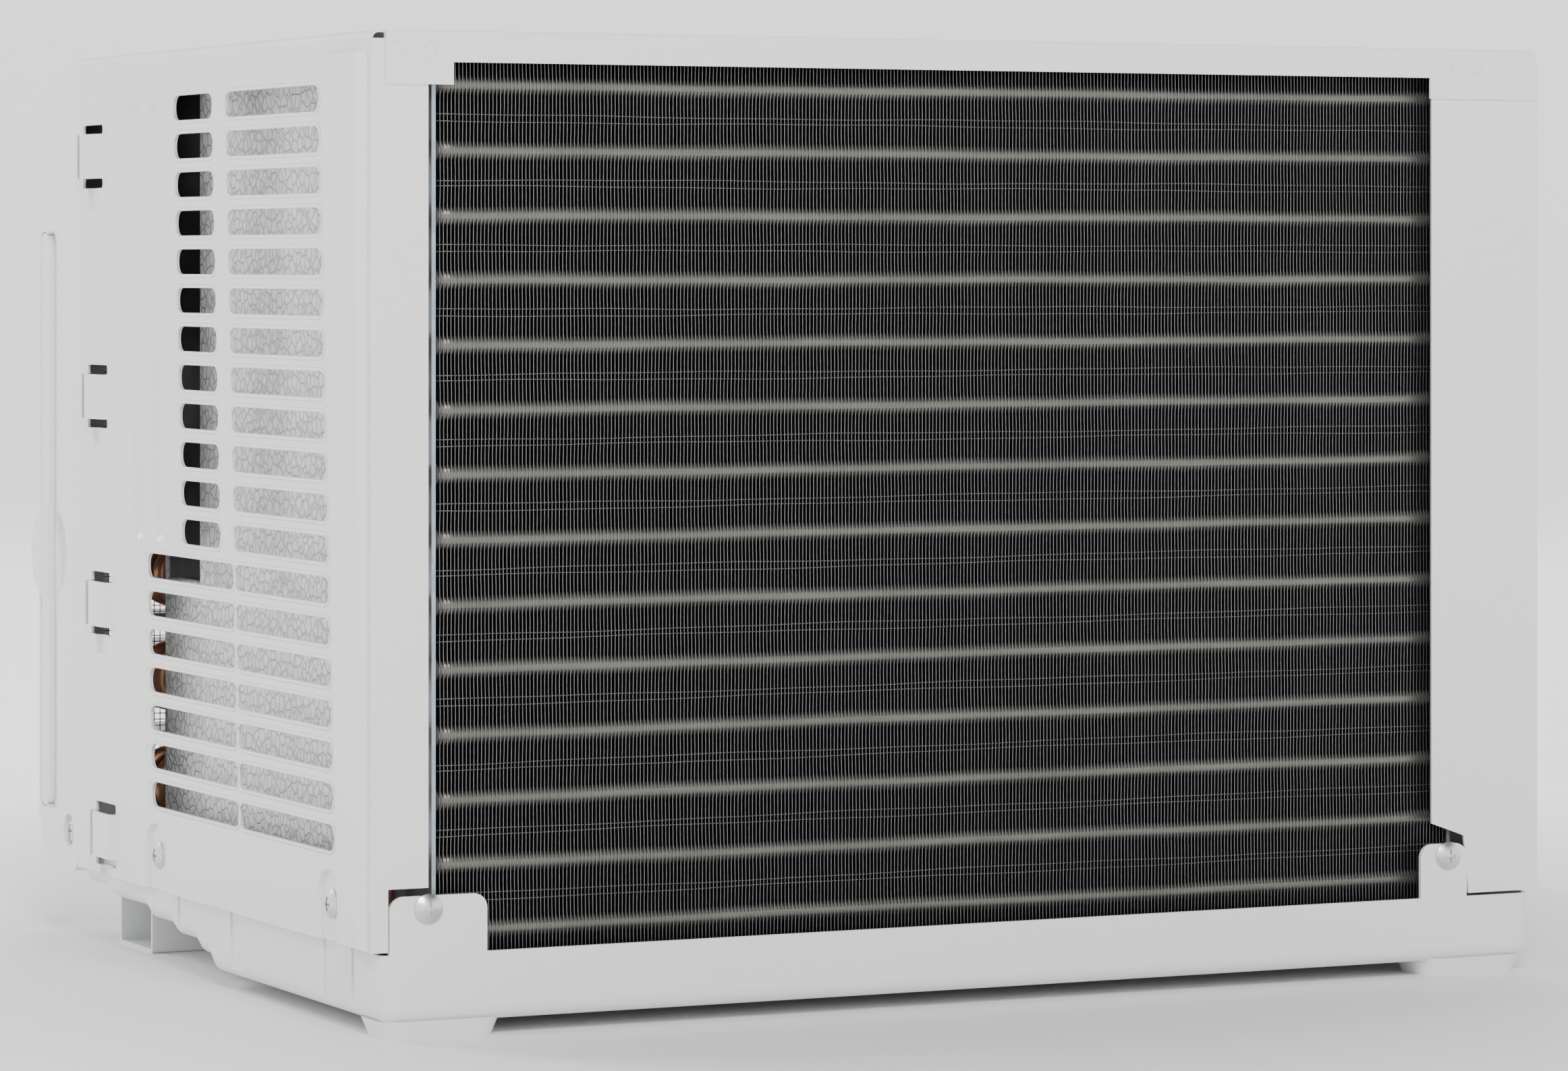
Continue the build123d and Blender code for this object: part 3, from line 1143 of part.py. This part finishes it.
save(room_sensor, "room_sensor")
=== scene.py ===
# %% [markdown]
# # A window air conditioner, from its outdoor side
# The shapes of the machine are already solids with real sizes. This lesson gives them their finishes and
# adds what is too fine for the solids: the fins of the coils, the formed lips of the air slots and the net
# of the filter. Every length is in metres, in the same frame as the solids: +Z up, +Y outdoors.

# %% Load the solids and keep their box
import bpy
import json
import math
import numpy as np
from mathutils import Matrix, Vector


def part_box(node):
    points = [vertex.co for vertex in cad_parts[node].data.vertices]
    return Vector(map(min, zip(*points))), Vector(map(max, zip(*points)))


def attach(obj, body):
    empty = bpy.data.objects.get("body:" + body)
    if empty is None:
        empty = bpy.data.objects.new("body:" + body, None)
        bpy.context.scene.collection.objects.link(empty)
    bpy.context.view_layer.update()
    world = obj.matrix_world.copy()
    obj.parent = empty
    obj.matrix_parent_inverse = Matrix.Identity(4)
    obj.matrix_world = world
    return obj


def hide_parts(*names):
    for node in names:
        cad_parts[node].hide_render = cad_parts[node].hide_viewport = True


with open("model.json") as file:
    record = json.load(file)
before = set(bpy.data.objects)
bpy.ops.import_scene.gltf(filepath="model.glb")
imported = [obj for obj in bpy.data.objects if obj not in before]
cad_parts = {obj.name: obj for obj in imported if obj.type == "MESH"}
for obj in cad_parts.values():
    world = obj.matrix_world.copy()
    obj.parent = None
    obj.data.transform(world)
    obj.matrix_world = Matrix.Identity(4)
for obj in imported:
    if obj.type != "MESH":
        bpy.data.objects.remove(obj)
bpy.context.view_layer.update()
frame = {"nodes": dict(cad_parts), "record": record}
MM = 0.001

# %% [markdown]
# ## Shader maths as Python
# A procedural finish is a chain of small sums on where a point is. Wiring each sum by hand hides the idea,
# so a Wire wraps a socket and lets + - * / add the Math nodes.

# %% A socket that can be used in sums
class Wire:
    """One output socket; arithmetic on it adds Math nodes to its tree."""

    def __init__(self, tree, socket):
        self.tree = tree
        self.socket = socket

    def math(self, operation, *others, first=None):
        node = self.tree.nodes.new("ShaderNodeMath")
        node.operation = operation
        values = [self, *others] if first is None else [first, self, *others]
        for socket, value in zip(node.inputs, values):
            if isinstance(value, Wire):
                self.tree.links.new(value.socket, socket)
            else:
                socket.default_value = value
        return Wire(self.tree, node.outputs[0])

    def __add__(self, other):
        return self.math("ADD", other)

    __radd__ = __add__

    def __sub__(self, other):
        return self.math("SUBTRACT", other)

    def __rsub__(self, other):
        return self.math("SUBTRACT", first=other)

    def __mul__(self, other):
        return self.math("MULTIPLY", other)

    __rmul__ = __mul__

    def __truediv__(self, other):
        return self.math("DIVIDE", other)

    def __pow__(self, other):
        return self.math("POWER", other)

    def clamp(self):
        return self.math("MAXIMUM", 0.0).math("MINIMUM", 1.0)


# %% [markdown]
# ## One class for every finish
# Each material starts from the Principled shader. Numbers that are the same all over are set on its sockets;
# only colour, roughness, metallic and the bump change from place to place.

# %% A finish and its helpers
class Finish:
    """A procedural material that is built up with a few calls."""

    def __init__(self, name, colour, roughness, metallic=0.0, **constants):
        self.material = bpy.data.materials.new(name)
        self.material.use_nodes = True
        self.tree = self.material.node_tree
        self.shader = self.tree.nodes["Principled BSDF"]
        self.set("Base Color", (*colour, 1.0))
        self.set("Roughness", roughness)
        self.set("Metallic", metallic)
        for socket, value in constants.items():
            self.set(socket.replace("_", " "), value)

    def set(self, socket, value):
        if isinstance(value, Wire):
            self.tree.links.new(value.socket, self.shader.inputs[socket])
        else:
            self.shader.inputs[socket].default_value = value

    def node(self, kind, settings=None, inputs=None, output=0):
        made = self.tree.nodes.new(kind)
        for key, value in (settings or {}).items():
            setattr(made, key, value)
        for key, value in (inputs or {}).items():
            if isinstance(value, Wire):
                self.tree.links.new(value.socket, made.inputs[key])
            else:
                made.inputs[key].default_value = value
        return Wire(self.tree, made.outputs[output])

    def place(self):
        """Where a point is on the machine, as three wires in millimetres."""
        at = self.node("ShaderNodeTexCoord", output=3)
        split = self.node("ShaderNodeSeparateXYZ", inputs={0: at})
        outs = split.socket.node.outputs
        return [Wire(self.tree, outs[k]) * 1000.0 for k in range(3)]

    def noise(self, size, detail=3.0):
        """Cloudy variation whose patches are about size millimetres."""
        at = self.node("ShaderNodeTexCoord", output=3)
        return self.node("ShaderNodeTexNoise",
                         inputs={"Vector": at, "Scale": 1000.0 / size, "Detail": detail})

    def mix(self, factor, a, b):
        """Colour a where factor is 0 and b where it is 1."""
        colours = {6: a if isinstance(a, Wire) else (*a, 1.0),
                   7: b if isinstance(b, Wire) else (*b, 1.0)}
        return self.node("ShaderNodeMix", {"data_type": "RGBA"}, {0: factor, **colours}, output=2)

    def bump(self, height, depth, strength=1.0):
        """Dents and grain: height is 0 to 1 and depth is in millimetres."""
        self.set("Normal", self.node("ShaderNodeBump", inputs={"Height": height, "Distance": depth * MM,
                                                                 "Strength": strength}))
        return self


finishes = {}
print("helpers ready")

# %% [markdown]
# ## White powder coat
# The case is steel sheet under a smooth, slightly warm white powder coat. Powder melts into a skin with a
# very fine orange peel. The press that cuts an air slot also leaves a soft thumb-shaped dent ahead of it.
# The dents repeat on the slots' pitch, so one sum on height and depth places all of them.

# %% Powder coat on the case and pan
SLOT_TOP = 323.8
SLOT_PITCH = 14.29
SLOT_H = 9.2
SLOT_ROWS = 19
LOW_ROWS = 7
LEAN = 0.06
PANEL_X = 235.0
DENT_LONG = 30.0
DENT_TALL = 22.0
DENT_DEEP = 1.3
LONG_SLOT = (51.2, 146.5)
SHORT_SLOT = (-5.0, 37.5)
WIDE_SLOT = (-44.0, 51.0)


def powder_coat(name, colour, dents):
    coat = Finish(name, colour, 0.33, Coat_Weight=0.25, Coat_Roughness=0.15)
    x, y, z = coat.place()
    peel = coat.noise(1.3, 2.0)
    tone = coat.noise(90.0)
    coat.set("Base Color", coat.mix(tone, colour, tuple(0.965 * c for c in colour)))
    coat.set("Roughness", 0.30 + 0.08 * coat.noise(30.0))
    height = peel * 0.03
    if dents:
        row = (SLOT_TOP - z) / SLOT_PITCH
        up = (row - (row + 0.5).math("FLOOR")) * SLOT_PITCH
        on_side = (x.math("ABSOLUTE") - (PANEL_X - 1.5)).clamp()
        for front, first, last in ((LONG_SLOT[0], -0.5, SLOT_ROWS - 0.5),
                                   (SHORT_SLOT[0], -0.5, SLOT_ROWS - LOW_ROWS - 0.5),
                                   (WIDE_SLOT[0], SLOT_ROWS - LOW_ROWS - 0.5, SLOT_ROWS - 0.5)):
            along = y - (front - 2.0) - (SLOT_TOP - z) * LEAN
            away = (along * along / DENT_LONG + up * up / DENT_TALL).clamp()
            rows = row.math("GREATER_THAN", first) * row.math("LESS_THAN", last)
            height = height - (1.0 - away) * rows * on_side * DENT_DEEP
    coat.bump(height, 0.9)
    return coat


finishes["painted_white"] = powder_coat("painted_white", (0.80, 0.80, 0.79), True)
finishes["painted_channel"] = powder_coat("painted_channel", (0.78, 0.79, 0.80), False)
print("powder coat: rows of dents", SLOT_ROWS)

# %% [markdown]
# ## Moulded plastics
# The front is brighter and more even than the paint, with the faint spark-eroded grain of a mould. The dark
# mouldings inside carry the same grain. It is a few tenths of a millimetre wide, so it shows as satin sheen.

# %% Moulded plastics and rubber
def moulded(name, colour, roughness, grain=0.35):
    plastic = Finish(name, colour, roughness)
    plastic.set("Base Color", plastic.mix(plastic.noise(60.0), colour, tuple(0.95 * c for c in colour)))
    plastic.set("Roughness", roughness + 0.10 * (plastic.noise(8.0) - 0.5))
    return plastic.bump(plastic.noise(grain, 2.0), 0.03, 0.6)


for name, colour, roughness in (("white_plastic", (0.84, 0.84, 0.835), 0.38),
                                ("dark_plastic", (0.035, 0.036, 0.04), 0.45),
                                ("button_grey", (0.42, 0.43, 0.44), 0.40),
                                ("black_rubber", (0.02, 0.02, 0.02), 0.75)):
    finishes[name] = moulded(name, colour, roughness)
print("plastics", sorted(finishes))

# %% [markdown]
# ## Bead foam
# The fan shroud is moulded from expanded beads. Each bead presses flat against its neighbours, so the skin is
# a pattern of rounded cells with fine grooves between them. A Voronoi texture is exactly that pattern.

# %% Bead foam
BEAD = 4.2
foam = Finish("foam_white", (0.80, 0.80, 0.79), 0.7)
spot = foam.node("ShaderNodeTexCoord", output=3)
wander = foam.node("ShaderNodeTexNoise", inputs={"Vector": spot, "Scale": 300.0}, output=1)
warped = foam.node("ShaderNodeMix", {"data_type": "VECTOR"}, {0: 0.0012, 4: spot, 5: wander}, output=1)
groove = foam.node("ShaderNodeTexVoronoi", {"feature": "DISTANCE_TO_EDGE"},
                   {"Vector": warped, "Scale": 1000.0 / BEAD})
bead_height_and_groove_shade = (groove * 7.0).clamp()
# painted shade: the grooves between beads are coloured darker than the beads
foam.set("Base Color", foam.mix(bead_height_and_groove_shade, (0.62, 0.62, 0.63), (0.82, 0.82, 0.81)))
foam.bump(bead_height_and_groove_shade ** 0.5, 0.6)
finishes["foam_white"] = foam
print("bead size", BEAD, "mm")

# %% [markdown]
# ## Bare metals
# Zinc on the screws is bright with faint stains, galvanised sheet has pale crystals (spangle) on blue-grey,
# and copper tube darkens unevenly where it was brazed and handled.

# %% Metals
zinc = Finish("zinc", (0.66, 0.66, 0.65), 0.28, 1.0)
zinc.set("Roughness", 0.20 + 0.22 * zinc.noise(3.0))
finishes["zinc"] = zinc.bump(zinc.noise(0.5), 0.04)

galvanised = Finish("galvanised", (0.36, 0.42, 0.47), 0.45, 0.85)
crystals_at = galvanised.node("ShaderNodeTexCoord", output=3)
spangle = galvanised.node("ShaderNodeTexVoronoi", inputs={"Vector": crystals_at, "Scale": 140.0}, output=1)
shade = galvanised.node("ShaderNodeSeparateXYZ", inputs={0: spangle})
galvanised.set("Base Color", galvanised.mix(shade, (0.30, 0.36, 0.41), (0.42, 0.48, 0.53)))
galvanised.set("Roughness", 0.38 + 0.16 * shade)
finishes["galvanised"] = galvanised

copper = Finish("copper", (0.60, 0.30, 0.19), 0.32, 1.0)
copper.set("Base Color", copper.mix(copper.noise(18.0), (0.70, 0.36, 0.23), (0.33, 0.16, 0.10)))
copper.set("Roughness", 0.25 + 0.25 * copper.noise(9.0))
finishes["copper"] = copper

can = Finish("capacitor_can", (0.62, 0.62, 0.63), 0.35, 1.0)
can.set("Roughness", 0.28 + 0.16 * can.noise(4.0))
finishes["capacitor_can"] = can

black = Finish("black_paint", (0.018, 0.018, 0.019), 0.38)
black.set("Roughness", 0.30 + 0.20 * black.noise(12.0))
finishes["black_paint"] = black.bump(black.noise(1.6), 0.08)
print("metals done")

# %% [markdown]
# ## Fin stock
# The fins are thin aluminium; their faces are painted near black as painted shade for the deep, narrow gaps.
# Cut edges are lighter bare metal that catch the light. A face that points straight out of the pack is an
# edge, so the normal's outward part chooses painted shade or bare metal.

# %% Fins, collars, net, boards and window
fin = Finish("fin_aluminium", (0.05, 0.05, 0.052), 0.42, 0.6)
outward = fin.node("ShaderNodeSeparateXYZ", inputs={0: fin.node("ShaderNodeNewGeometry", output=1)})
edge = Wire(fin.tree, outward.socket.node.outputs[1]).math("ABSOLUTE").math("GREATER_THAN", 0.6)
bare = fin.mix(fin.noise(2.2, 4.0), (0.10, 0.105, 0.11), (0.30, 0.30, 0.30))
# painted shade: fin faces near black, cut edges lighter bare metal
fin.set("Base Color", fin.mix(edge, (0.018, 0.019, 0.022), bare))
finishes["fin_aluminium"] = fin

collar = Finish("fin_collar", (0.25, 0.24, 0.215), 0.38, 0.7)
collar.set("Base Color", collar.mix(collar.noise(25.0), (0.17, 0.165, 0.145), (0.105, 0.10, 0.088)))
collar.set("Roughness", 0.32 + 0.14 * collar.noise(5.0))

net = Finish("filter_net", (0.10, 0.105, 0.12), 0.7)
net.set("Base Color", net.mix(net.noise(20.0), (0.08, 0.085, 0.10), (0.15, 0.155, 0.17)))
finishes["filter_net"] = net

board = Finish("board_green", (0.02, 0.12, 0.045), 0.35)
tracks = (board.noise(3.0, 0.0) * 8.0 - 4.0).clamp()
board.set("Base Color", board.mix(tracks, (0.015, 0.09, 0.035), (0.03, 0.17, 0.065)))
finishes["board_green"] = board

window = Finish("display", (0.008, 0.008, 0.01), 0.10, Coat_Weight=0.6)
window.set("Roughness", 0.06 + 0.08 * window.noise(15.0))
finishes["display"] = window
print("finishes", len(finishes))

# %% [markdown]
# ## Dress the solids
# Each node of the record names a slot, and each slot now has a finish, so one loop dresses the whole machine.

# %% Give every node its finish
slot_of = {row["node"]: row["material_slot"] for row in frame["record"]["subparts"]}
for name, node in frame["nodes"].items():
    node.data.materials.clear()
    node.data.materials.append(finishes[slot_of[name]].material)
print("dressed", len(slot_of), "nodes")

# %% [markdown]
# ## Making a piece from arrays
# The fine pieces repeat one small shape hundreds of times. Numpy lays out all their points at once, and a
# single mesh holds them, which is far lighter than hundreds of objects.

# %% Mesh helpers
def make_piece(name, points, faces, slot, finish=None, smooth=False):
    mesh = bpy.data.meshes.new(name)
    mesh.from_pydata([tuple(p) for p in points], [], [tuple(int(v) for v in f) for f in faces])
    mesh.validate()
    mesh.update()
    piece = bpy.data.objects.new(name, mesh)
    bpy.context.scene.collection.objects.link(piece)
    mesh.materials.append((finish or finishes[slot]).material)
    for face in mesh.polygons:
        face.use_smooth = smooth
    print(name, len(mesh.vertices), "points", len(mesh.polygons), "faces")
    return piece


def lofts(rings, loop=False):
    """Points and faces of many tubes; rings is (tube, ring, corner, 3).

    A loop joins its two ends, and any other tube is capped.
    """
    tubes, count, corners, _ = rings.shape
    faces = []
    for t in range(tubes):
        base = t * count * corners
        last = count if loop else count - 1
        for r in range(last):
            a = base + r * corners
            b = base + ((r + 1) % count) * corners
            for c in range(corners):
                d = (c + 1) % corners
                faces.append((a + c, a + d, b + d, b + c))
        if not loop:
            faces.append(tuple(base + c for c in reversed(range(corners))))
            faces.append(tuple(base + (count - 1) * corners + c for c in range(corners)))
    return rings.reshape(-1, 3), faces


# %% [markdown]
# ## Fin packs
# A coil is hundreds of fins threaded on tubes. No fin is quite straight: handling bends them in soft waves
# that neighbours share. Each fin is a thin closed strip. Its rear edge wanders, and steps in where it is
# lanced.

# %% Outdoor and indoor fins
ROWS = 14
ROW_PITCH = 22.4 * MM
LANCE_STEPS = (0.0, 0.2, 0.43, 0.455, 0.545, 0.57, 0.8)
LANCE_IN = (0.0, 0.0, 0.0, 0.35, 0.35, 0.0, 0.0)


def fin_pack(node, pitch, row_pitch, thick, wander):
    low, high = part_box(node)
    count = int((high.x - low.x - thick) / pitch)
    cells = int(round((high.z - low.z) / row_pitch))
    steps = np.array(LANCE_STEPS)
    each = [low.z + (k + steps) * (high.z - low.z) / cells for k in range(cells)]
    z = np.concatenate(each + [[high.z]])
    inset = np.array([*LANCE_IN] * cells + [0.0]) * MM
    x = (low.x + high.x - (count - 1) * pitch) / 2 + np.arange(count) * pitch
    fx, fz = np.meshgrid(x, z, indexing="ij")
    bend = np.sin(61 * fz + 23 * fx) + 0.7 * np.sin(173 * fz - 41 * fx) + 0.5 * np.sin(340 * fz + 150 * fx)
    side = wander * bend / 2.2
    ripple = np.sin(47 * fx + 29 * fz) * np.sin(19 * fx - 83 * fz)
    out = high.y - inset[None, :] - 0.25 * MM * (1 + ripple) / 2
    rings = np.zeros((count, len(z), 4, 3))
    for corner, (dx, at_rear) in enumerate(((-1, False), (1, False), (1, True), (-1, True))):
        rings[:, :, corner, 0] = fx + dx * thick / 2 + (side if at_rear else 0)
        rings[:, :, corner, 1] = out if at_rear else low.y
        rings[:, :, corner, 2] = fz
    piece = make_piece(node + "_pack", *lofts(rings), "fin_aluminium")
    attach(piece, "chassis")
    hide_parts(node)
    return low, high


outdoor = fin_pack("condenser_fins", 1.4 * MM, ROW_PITCH, 0.22 * MM, 0.22 * MM)
fin_pack("evaporator_fins", 2.0 * MM, 20.4 * MM, 0.20 * MM, 0.10 * MM)

# %% [markdown]
# ## Tube bands
# Close behind the fins' edges the collars of the outer tube row show as bright bands, one per row. A pair of
# fine lanced lines runs half way between them. They are rods set just inside the edges.

# %% Collar bands and lanced lines
def rods(name, heights, radius, flatness, depth, corners, finish):
    low, high = outdoor
    x = np.linspace(low.x + 0.3 * MM, high.x - 0.3 * MM, 60)
    turn = np.linspace(0, 2 * math.pi, corners, endpoint=False)
    rings = np.zeros((len(heights), len(x), corners, 3))
    for k, z in enumerate(heights):
        sway = 0.25 * MM * np.sin(31 * x + 2.1 * k) + 0.12 * MM * np.sin(97 * x + k)
        rings[k, :, :, 0] = x[:, None]
        rings[k, :, :, 1] = high.y - depth + flatness * radius * (np.cos(turn)[None, :] - 1)
        rings[k, :, :, 2] = z + sway[:, None] + radius * np.sin(turn)[None, :]
    piece = make_piece(name, *lofts(rings), "fin_aluminium", finish, smooth=True)
    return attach(piece, "chassis")


band_z = [outdoor[0].z + (k + 0.5) * ROW_PITCH for k in range(ROWS)]
rods("tube_bands", band_z, 3.5 * MM, 0.75, 0.55 * MM, 14, collar)
line_z = [z + ROW_PITCH / 2 + d * MM for z in band_z[:-1] for d in (-1.1, 1.1)]
rods("lanced_lines", line_z, 0.22 * MM, 1.0, 0.7 * MM, 6, collar)

# %% [markdown]
# ## Formed slot lips
# A cut edge in thin sheet would be sharp, so the press rolls each slot's rim outwards into a small round lip.
# The lip is one short profile carried round the slot's outline, for every slot on both sides. Each pair in
# LIP says how far the outline has grown there and how high the lip stands off the panel, in millimetres.

# %% Lips round every air slot
END_R = SLOT_H / 2 - 0.2
LIP = ((0.0, -0.5), (0.02, 0.22), (0.45, 0.42), (0.95, 0.28), (1.5, -0.04), (0.9, -0.3))


def outline(y0, y1, z, grow):
    """Points round a slot, grown outwards by grow."""
    r = END_R + grow
    flat = SLOT_H / 2 - END_R
    points = []
    for cy, cz, start in ((y1, flat, 0), (y0, flat, 90), (y0, -flat, 180), (y1, -flat, 270)):
        inner = cy + (-1 if cy == y1 else 1) * END_R
        for a in np.linspace(start, start + 90, 7):
            points.append((inner + r * math.cos(math.radians(a)), z + cz + r * math.sin(math.radians(a))))
    return points


slots = []
for row in range(SLOT_ROWS):
    z = SLOT_TOP - row * SLOT_PITCH
    shift = LEAN * (SLOT_TOP - z)
    short = SHORT_SLOT if row < SLOT_ROWS - LOW_ROWS else WIDE_SLOT
    slots += [(a + shift, b + shift, z) for a, b in (LONG_SLOT, short)]
rings = []
for side in (-1, 1):
    for y0, y1, z in slots:
        loops = np.array([outline(y0, y1, z, grow) for grow, _ in LIP])
        ring = np.zeros((loops.shape[1], len(LIP), 3))
        for c, (_, rise) in enumerate(LIP):
            ring[:, c, 0] = side * (PANEL_X + rise)
            ring[:, c, 1:] = loops[c]
        rings.append(ring[:, ::-side] * MM)
points, faces = lofts(np.array(rings), loop=True)
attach(make_piece("slot_lips", points, faces, "painted_white", smooth=True), "chassis")

# %% [markdown]
# ## Filter net
# The filter is a woven net in its frame. Real threads are modelled as crossing thin strips, one set a hair in
# front of the other, so that light and the coil behind show through.

# %% Woven threads
low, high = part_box("filter_mesh")
NET_PITCH = 2.4 * MM
THREAD = 0.35 * MM
HALF_FLAT = 0.1 * MM
APART = 0.12
middle_y = (low.y + high.y) / 2
corner = [(-1, -1), (1, -1), (1, 1), (-1, 1)]
threads = []
for across, start, stop in (("x", low.x, high.x), ("z", low.z, high.z)):
    for at in np.arange(start + NET_PITCH / 2, stop, NET_PITCH):
        ends = (low.z, high.z) if across == "x" else (low.x, high.x)
        depth = middle_y + (APART if across == "x" else -APART) * MM
        bar = np.zeros((2, 4, 3))
        for e, end in enumerate(ends):
            for c, (u, v) in enumerate(corner):
                wide = at + u * THREAD / 2
                deep = depth + v * HALF_FLAT
                bar[e, c] = (wide, deep, end) if across == "x" else (end, deep, wide)
        threads.append(bar)
net_piece = make_piece("filter_net_threads", *lofts(np.array(threads)), "filter_net")
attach(net_piece, "filter")
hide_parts("filter_mesh")

# %% [markdown]
# ## Studio
# A wide pale dish serves as floor and backdrop from every side. It glows a little, but only away from the
# machine: a glow underneath would wash out the soft contact shadow. The wall stands 5.5 m out, so a camera
# placed further away than that sees the outside of the wall and not the machine.

# %% Floor and backdrop
NEAR = 300.0
FADE = 420.0
FLAT_R = 4.0
BEND_R = 1.5
WALL_TOP = 3.2
profile = [(r, 0.0) for r in (0.6, 1.2, 2.0, 3.0, FLAT_R)]
profile += [(FLAT_R + BEND_R * math.sin(t), BEND_R - BEND_R * math.cos(t))
            for t in np.linspace(0.1, math.pi / 2, 12)]
profile += [(FLAT_R + BEND_R, WALL_TOP)]
around = np.linspace(0, 2 * math.pi, 96, endpoint=False)
dish = [(r * math.cos(a), r * math.sin(a), z) for r, z in profile for a in around]
n = len(around)
dish_faces = [tuple(range(n))]
dish_faces += [(k * n + c, (k + 1) * n + c, (k + 1) * n + (c + 1) % n, k * n + (c + 1) % n)
               for k in range(len(profile) - 1) for c in range(n)]
mesh = bpy.data.meshes.new("floor")
mesh.from_pydata(dish, [], dish_faces)
floor = bpy.data.objects.new("floor", mesh)
bpy.context.scene.collection.objects.link(floor)
pale = Finish("floor_pale", (0.90, 0.90, 0.90), 0.8, Emission_Strength=0.74)
across, along, _ = pale.place()
far = (((across * across + along * along) ** 0.5 - NEAR) / FADE).clamp()
pale.set("Emission Color", pale.mix(far, (0.0, 0.0, 0.0), (1.0, 1.0, 1.0)))
mesh.materials.append(pale.material)
for face in mesh.polygons:
    face.use_smooth = True
print("floor", len(dish), "points")

# %% [markdown]
# ## Lights
# White sheet metal shows its shape only by soft changes of tone. Area lights give those, and they stay weak
# because the dish fills the shadows by itself. The strongest comes from the outdoor side.

# %% Lights
def soft_light(name, place, aim, size, power):
    data = bpy.data.lights.new(name, "AREA")
    data.size = size
    data.energy = power
    lamp = bpy.data.objects.new(name, data)
    lamp.location = place
    lamp.rotation_euler = (Vector(aim) - Vector(place)).to_track_quat("-Z", "Y").to_euler()
    bpy.context.scene.collection.objects.link(lamp)


soft_light("side_light", (1.5, -1.7, 1.5), (0.1, 0.05, 0.15), 0.5, 30)
soft_light("rear_light", (1.0, 2.5, 1.9), (0, 0, 0.15), 0.6, 58)
soft_light("room_light", (-1.4, -2.7, 1.9), (0, 0, 0.15), 1.2, 32)
soft_light("top_light", (0, 0, 3.0), (0, 0, 0), 1.2, 18)
world = bpy.data.worlds.new("studio")
bpy.context.scene.world = world
world.use_nodes = True
world.node_tree.nodes["Background"].inputs["Color"].default_value = (1, 1, 1, 1)
world.node_tree.nodes["Background"].inputs["Strength"].default_value = 0.15

# %% [markdown]
# ## Camera
# A long lens, level with the machine, looks at the outdoor face and the right-hand side. The lens is shifted
# down instead of tilted, which keeps upright edges upright.

# %% Camera
TURN = math.radians(25.51)
camera_data = bpy.data.cameras.new("camera")
camera_data.lens = 131.5
camera_data.sensor_width = 36.0
camera_data.shift_y = -0.1745
camera = bpy.data.objects.new("camera", camera_data)
camera.location = (0.9491, 2.0198, 0.2666)
camera.rotation_euler = Vector((-math.sin(TURN), -math.cos(TURN), 0)).to_track_quat("-Z", "Y").to_euler()
bpy.context.scene.collection.objects.link(camera)
bpy.context.scene.camera = camera
print("camera lens", camera_data.lens)
